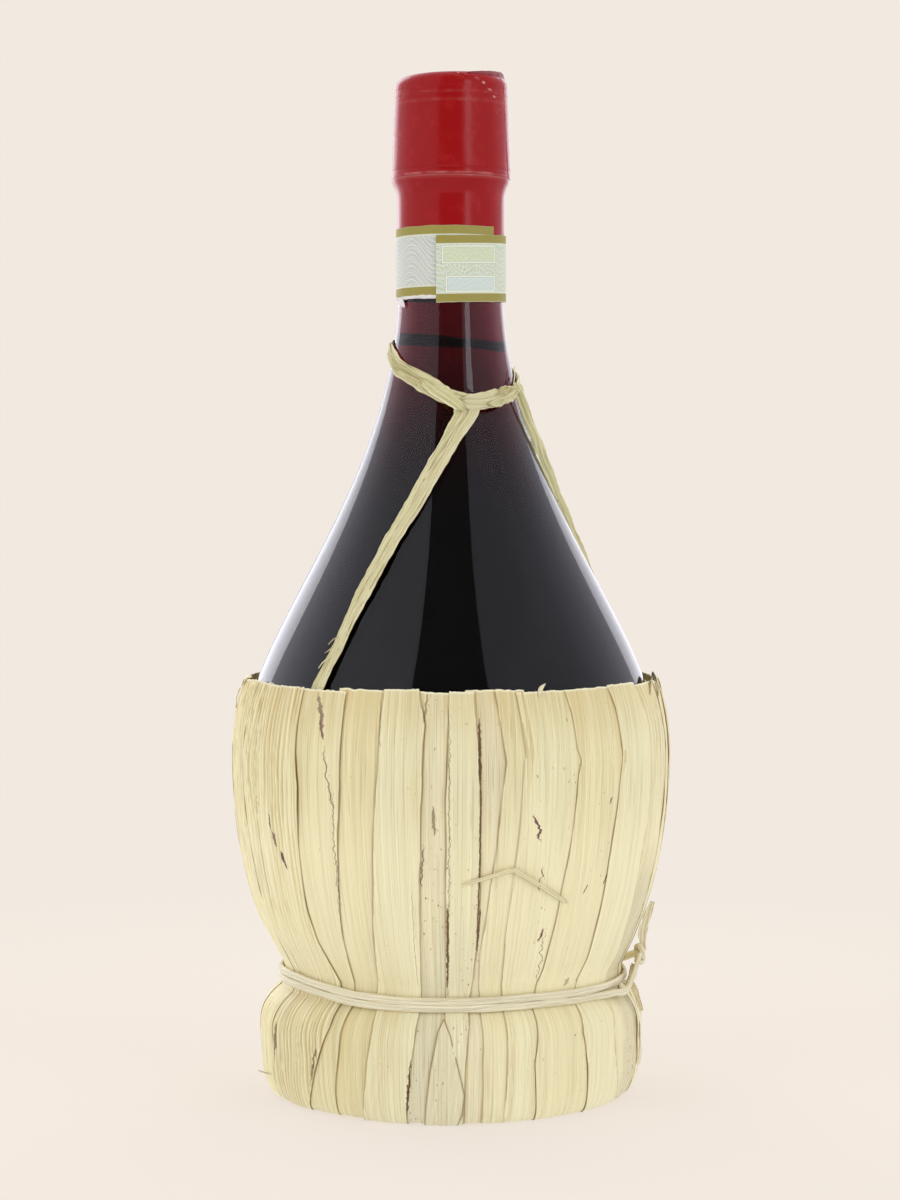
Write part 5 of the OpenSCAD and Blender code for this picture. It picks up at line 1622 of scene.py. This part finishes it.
# %% Knot and tails
t = np.linspace(0, 2 * math.pi, 150)
knot_r = KNOT_BIG + KNOT_SMALL * np.cos(3 * t)
knot = knot_center + np.outer(knot_r * np.cos(2 * t), knot_side)
knot[:, 2] += knot_r * np.sin(2 * t)
knot += np.outer(KNOT_SMALL * np.sin(3 * t), knot_out)
knot_outs = knot - knot_center + 0.3 * knot_out
knot_outs /= np.linalg.norm(knot_outs, axis=1)[:, None]
knot_part = twisted_strand(knot, knot_outs, KNOT_STRAND * 1.7, 64, 0.05, 4, 0.8)
add_piece("raffia_knot", knot_part, tie_straw, "flask", ["waist_knot"])



def on_edge(stations, half_width, seed, **ways):
    """A strip that stands out from the cover on its narrow edge."""
    rows = smooth_line(stations, 0.25)
    centers, outs = on_cover(rows[:, 0], rows[:, 1], rows[:, 2])
    return raffia_strip(centers, np.cross([0.0, 0.0, 1.0], outs), half_width, 0.4, seed, **ways)


tail_up = [
    (KNOT_A, KNOT_Z + KNOT_REACH - 0.6, KNOT_LIFT), (KNOT_A + 0.5, KNOT_Z + KNOT_REACH + 3, 1.7),
    (KNOT_A, KNOT_Z + KNOT_REACH + 7, 1.2), (KNOT_A - 0.5, KNOT_Z + KNOT_REACH + 11, 1.3),
]
tail_down = [
    (KNOT_A, KNOT_Z - KNOT_REACH + 0.6, KNOT_LIFT), (KNOT_A - 8, WAIST_LOW + 2.5, TIE_CROSS + 0.4),
    (KNOT_A - 12, WAIST_LOW - 2.0, 1.6), (KNOT_A - 11, FOOT_Z + 6, 0.9), (KNOT_A - 9, FOOT_Z, 0.7),
    (KNOT_A - 8, FOOT_Z - 5, 0.7),
]
up = on_edge(tail_up, (0.7, 0.95, 0.95, 0.6), 65, folds=2.0, twist=0.2, crumple=0.4)
down = strip_on(on_cover, tail_down, (1.4, 1.2, 0.9, 0.8, 0.6), 0.4, 66, folds=2.0, twist=0.3, crumple=0.5)
add_piece("raffia_tail_up", up, tie_straw, "flask", ["tail_up"], sharp=30)
HANG_R = FOOT_R - 1.9
hang_z = np.array([KNOT_Z - KNOT_REACH + 0.8, WAIST_Z + 0.5, WAIST_LOW - 1.0, 23.0, 20.0])
hang_lift = np.maximum(HANG_R - cover_r(hang_z), 0.45)
short_end = [(KNOT_A - 2.0 - 0.4 * i, z, lift) for i, (z, lift) in enumerate(zip(hang_z, hang_lift))]
beside_it = on_edge(short_end, (0.7, 0.85, 0.9, 0.75, 0.45), 67, folds=2.0, twist=0.15, crumple=0.4)
down = join_grids([down, beside_it])
add_piece("raffia_tail_down", down, tie_straw, "flask", ["tail_down"], sharp=30)
print("knot and tails made")

# %% [markdown]
# ## Loose ends
# One thin blade has come loose at the front and lies bent over across its
# neighbours, caught under two of them. Small splinters and hairs of straw stand out
# where something was cut or rubbed. Without them the piece looks moulded.

# %% Stray blade
loose_straw = straw_material("loose_straw", (0.82, 0.75, 0.45), (0.6, 0.52, 0.27), STRAW_CASTS, 1.6, 0.2)
stray = [(-87, 58.4, 0.3), (-79, 60.6, 0.55), (-74.6, 61.7, 0.8), (-73.6, 61.6, 0.8), (-66, 57.4, 0.6), (-57.5, 52.8, 0.3)]
stray_part = strip_on(on_cover, stray, 0.6, 0.3, 71, folds=1.4, taper=1.5)
add_piece("bent_stray_blade", stray_part, loose_straw, "flask", ["stray_blade"], sharp=30)


# %% Splinters and hairs
def splinter(surface, stations, half, seed):
    return strip_on(surface, stations, half, 0.12, seed, folds=1.2, taper=1.2, twist=0.6)


rim_bits = [
    splinter(on_cover, [(-179, 101, 0.1), (-176, 103.8, 0.2), (-171, 104.7, -0.6)], 0.55, 101),
    splinter(on_cover, [(-174, 96.5, 0.2), (-176, 99.2, 0.7), (-177, 101.4, 0.4)], 0.45, 102),
    splinter(on_cover, [(-170, 102, 0.1), (-167, 104.5, 0.2), (-164, 105.1, -0.4)], 0.4, 103),
    splinter(on_cover, [(-66.5, 102.5, 0.1), (-66, 104.2, 0.4), (-64.6, 105.2, 0.7)], 0.5, 104),
    splinter(on_cover, [(-14, 100, 0.1), (-11, 103.0, 0.3), (-7, 104.7, -0.1), (-2, 105.0, -0.8)], 0.8, 106),
    splinter(on_cover, [(-22, 101, 0.1), (-18, 103.7, 0.2), (-13, 104.6, -0.4)], 0.6, 107),
    splinter(on_cover, [(-5, 99, 0.1), (-3, 102.3, 0.3), (1, 104.0, -0.1)], 0.6, 111),
    splinter(on_cover, [(60, 101, 0.2), (62, 104.4, 0.6), (66, 105.4, 1.4)], 0.5, 108),
    splinter(on_cover, [(118, 101, 0.2), (119, 104.0, 0.7), (117, 106.0, 1.2)], 0.6, 109),
    splinter(on_cover, [(-158, 6.0, 0.1), (-162, 6.0, 0.8), (-166, 6.6, 2.4)], 0.22, 110),
]
add_piece("straw_splinters", join_grids(rim_bits), loose_straw, "flask", [])

hair_bits = [
    splinter(on_glass, [(-30, 177.4, 1.6), (-23, 179.4, 1.4), (-18, 181.2, 1.3), (-15, 182.2, 1.3)], 0.22, 121),
    splinter(on_glass, [(-26, 177.2, 1.9), (-19, 178.8, 1.9), (-13, 179.8, 1.8), (-9, 179.7, 1.6)], 0.25, 122),
    splinter(on_glass, [(-127.5, 113.5, 1.2), (-129.0, 112.0, 1.6), (-130.0, 111.4, 1.8)], 0.12, 124),
    splinter(on_glass, [(-128, 111.0, 1.2), (-129.8, 109.2, 1.6), (-130.6, 107.8, 1.7)], 0.12, 125),
    splinter(on_glass, [(-127, 115.5, 1.2), (-128.4, 114.8, 1.5), (-129.4, 113.4, 1.8)], 0.1, 126),
]
add_piece("raffia_hairs", join_grids(hair_bits), tie_straw, "flask", [])
print("splinters and hairs:", len(rim_bits) + len(hair_bits))

# %% Film flap and torn paper
# The lifted flap is the same red film coloured near black: painted shade on its raised edge
dark_film = new_material("shaded_flap_film")
tree = dark_film.node_tree
place = node(tree, "ShaderNodeTexCoord").outputs["Object"]
flap_shade_color = mix_color(tree, noise(tree, place, 500.0, 3.0), (0.13, 0.008, 0.012), (0.36, 0.09, 0.1))
output(tree, node(tree, "ShaderNodeBsdfPrincipled", {"Base Color": flap_shade_color, "Roughness": 0.35}).outputs[0])
flap_line = smooth_line([
    (4.2, -12.35, CAP_TOP - 0.5), (7.4, -10.8, CAP_TOP - 0.35), (10.0, -8.6, CAP_TOP - 0.25),
    (11.9, -5.8, CAP_TOP - 0.15), (12.9, -3.4, CAP_TOP - 0.1), (13.35, -1.4, CAP_TOP - 0.7), (13.4, 0.2, CAP_TOP - 1.6),
], 0.3)
flap_outs = flap_line * np.array([1.0, 1.0, 0.0])
flap_outs = flap_outs / np.linalg.norm(flap_outs, axis=1)[:, None]
flap = raffia_strip(flap_line, flap_outs, (0.2, 0.4, 0.55, 0.7, 0.75, 0.5, 0.2), 0.2, 141, 1.0, crumple=0.1)
add_piece("capsule_film_flap", flap, dark_film, "capsule", [], sharp=30)

white_paper = new_material("torn_paper")
tree = white_paper.node_tree
lie = node(tree, "ShaderNodeUVMap", uv_map="lie").outputs[0]
torn = mix_color(tree, noise(tree, lie, 1.2, 4.0, 0.7), (0.62, 0.55, 0.54), (0.86, 0.85, 0.84))
output(tree, node(tree, "ShaderNodeBsdfPrincipled", {"Base Color": torn, "Roughness": 0.6}).outputs[0])
sliver_parts = [
    strip_on(on_glass, [(-172, 199.6, 0.5), (-150, 199.5, 0.52), (-125, 199.45, 0.55), (-103, 199.4, 0.55)],
             (0.3, 0.5, 0.42, 0.5), 0.15, 151, folds=1.0, crumple=0.4),
    strip_on(on_glass, [(-160, 199.2, 0.5), (-152, 198.4, 0.7), (-147, 197.0, 0.5)],
             (0.5, 0.9, 0.5), 0.2, 152, folds=1.5, taper=0.6, crumple=0.4),
]
add_piece("torn_strip_edge", join_grids(sliver_parts), white_paper, "flask", [], sharp=30)
print("film flap and torn edge made")

# %% [markdown]
# ## Ring, pad and binding cord
# Inside the cover a ring of packed sedge carries the bulb, with a thin pad under it,
# and a cord inside the rim holds blades and braces. All three show only from above
# or below. They are turned and then ridged in a spiral, like wound stalks.


# %% Wound ring
def wound_ring(center_r, center_z, section, stalks, turns, seed, rise=0.05):
    steps, cols = 420, 36
    a = np.linspace(0, 2 * math.pi, steps, endpoint=False)[:, None]
    phi = np.linspace(0, 2 * math.pi, cols, endpoint=False)[None, :]
    ridge = np.abs(np.sin(stalks / 2 * phi + turns / 2 * a))
    size = section + rise * section * (ridge - 1)
    r, z = center_r + size * np.cos(phi), center_z + size * np.sin(phi)
    grid = np.stack([r * np.cos(a), r * np.sin(a), z], -1)
    lie = np.stack([phi * section + 0 * a + 3.0 * seed, a * center_r + 0 * phi], -1)
    made = {"points": grid.reshape(-1, 3), "faces": list(grid_faces(steps, cols, True, True))}
    made["lie"] = lie.reshape(-1, 2)
    values = plain_values(r.shape, 0.1 + 0.6 * ridge, seed)
    values["shade"] = 0.6 * (1 - ridge) ** 2
    made.update({key: value.ravel() for key, value in values.items()})
    return made


def ring_room(section):
    center = np.array([FOOT_R - LEAF_STACK - 0.3 - section, LEAF_STACK + 0.3 + section])
    away = np.hypot(below_rs - center[0], below_zs - center[1]).min()
    return away - section - 0.3


low, high = FOOT_Z / 4, FOOT_R / 3
for _ in range(20):
    middle = (low + high) / 2
    low, high = (middle, high) if ring_room(middle) > 0 else (low, middle)
ring_section = low
ring_r, ring_z = FOOT_R - LEAF_STACK - 0.3 - ring_section, LEAF_STACK + 0.3 + ring_section
SEDGE_CASTS = ((0.5, 0.4, 0.2), (0.46, 0.42, 0.2), (0.45, 0.36, 0.22))
sedge = straw_material("packed_sedge", (0.62, 0.5, 0.26), (0.38, 0.29, 0.13), SEDGE_CASTS, 0.8, 0.8)
ring_part = wound_ring(ring_r, ring_z, ring_section, 16, 64, 81)
add_piece("packed_sedge_ring", ring_part, sedge, "flask", ["foot_ring"])
binding_r = float(glass_r(BINDING_Z) + cover_r(BINDING_Z) - LEAF_STACK) / 2
binding = wound_ring(binding_r, BINDING_Z, BINDING_D / 2, 4, 240, 82, 0.25)
add_piece("raffia_binding_cord", binding, raffia, "flask", ["binding_cord"])
print("ring section radius in mm:", round(ring_section, 2))

# %% Pad under the bulb
PAD_R = 26.0
pad_line = np.stack([below_rs, below_zs], -1)
pad_line = pad_line[pad_line[:, 0] < PAD_R][::2]
pad_line[0] = (0, BULB_BOTTOM)
above, beneath = beside(pad_line, -0.3), beside(pad_line, -1.5)
beneath[:, 1] += 0.16 * np.abs(np.sin(np.linspace(0, 9 * math.pi, len(beneath))))
above[:, 0], beneath[:, 0] = np.maximum(above[:, 0], 0), np.maximum(beneath[:, 0], 0)
pad_part = turned(np.concatenate([beneath, above[::-1]]), 180)
pad_x, pad_y = pad_part["points"][:, 0], pad_part["points"][:, 1]
pad_part["lie"] = np.stack([np.hypot(pad_x, pad_y), 16 * np.arctan2(pad_y, pad_x)], -1)
pad_part.update(plain_values(pad_x.shape, 1.0, 83))
add_piece("packed_sedge_pad", pad_part, sedge, "flask", ["base_pad"])
print("pad made")
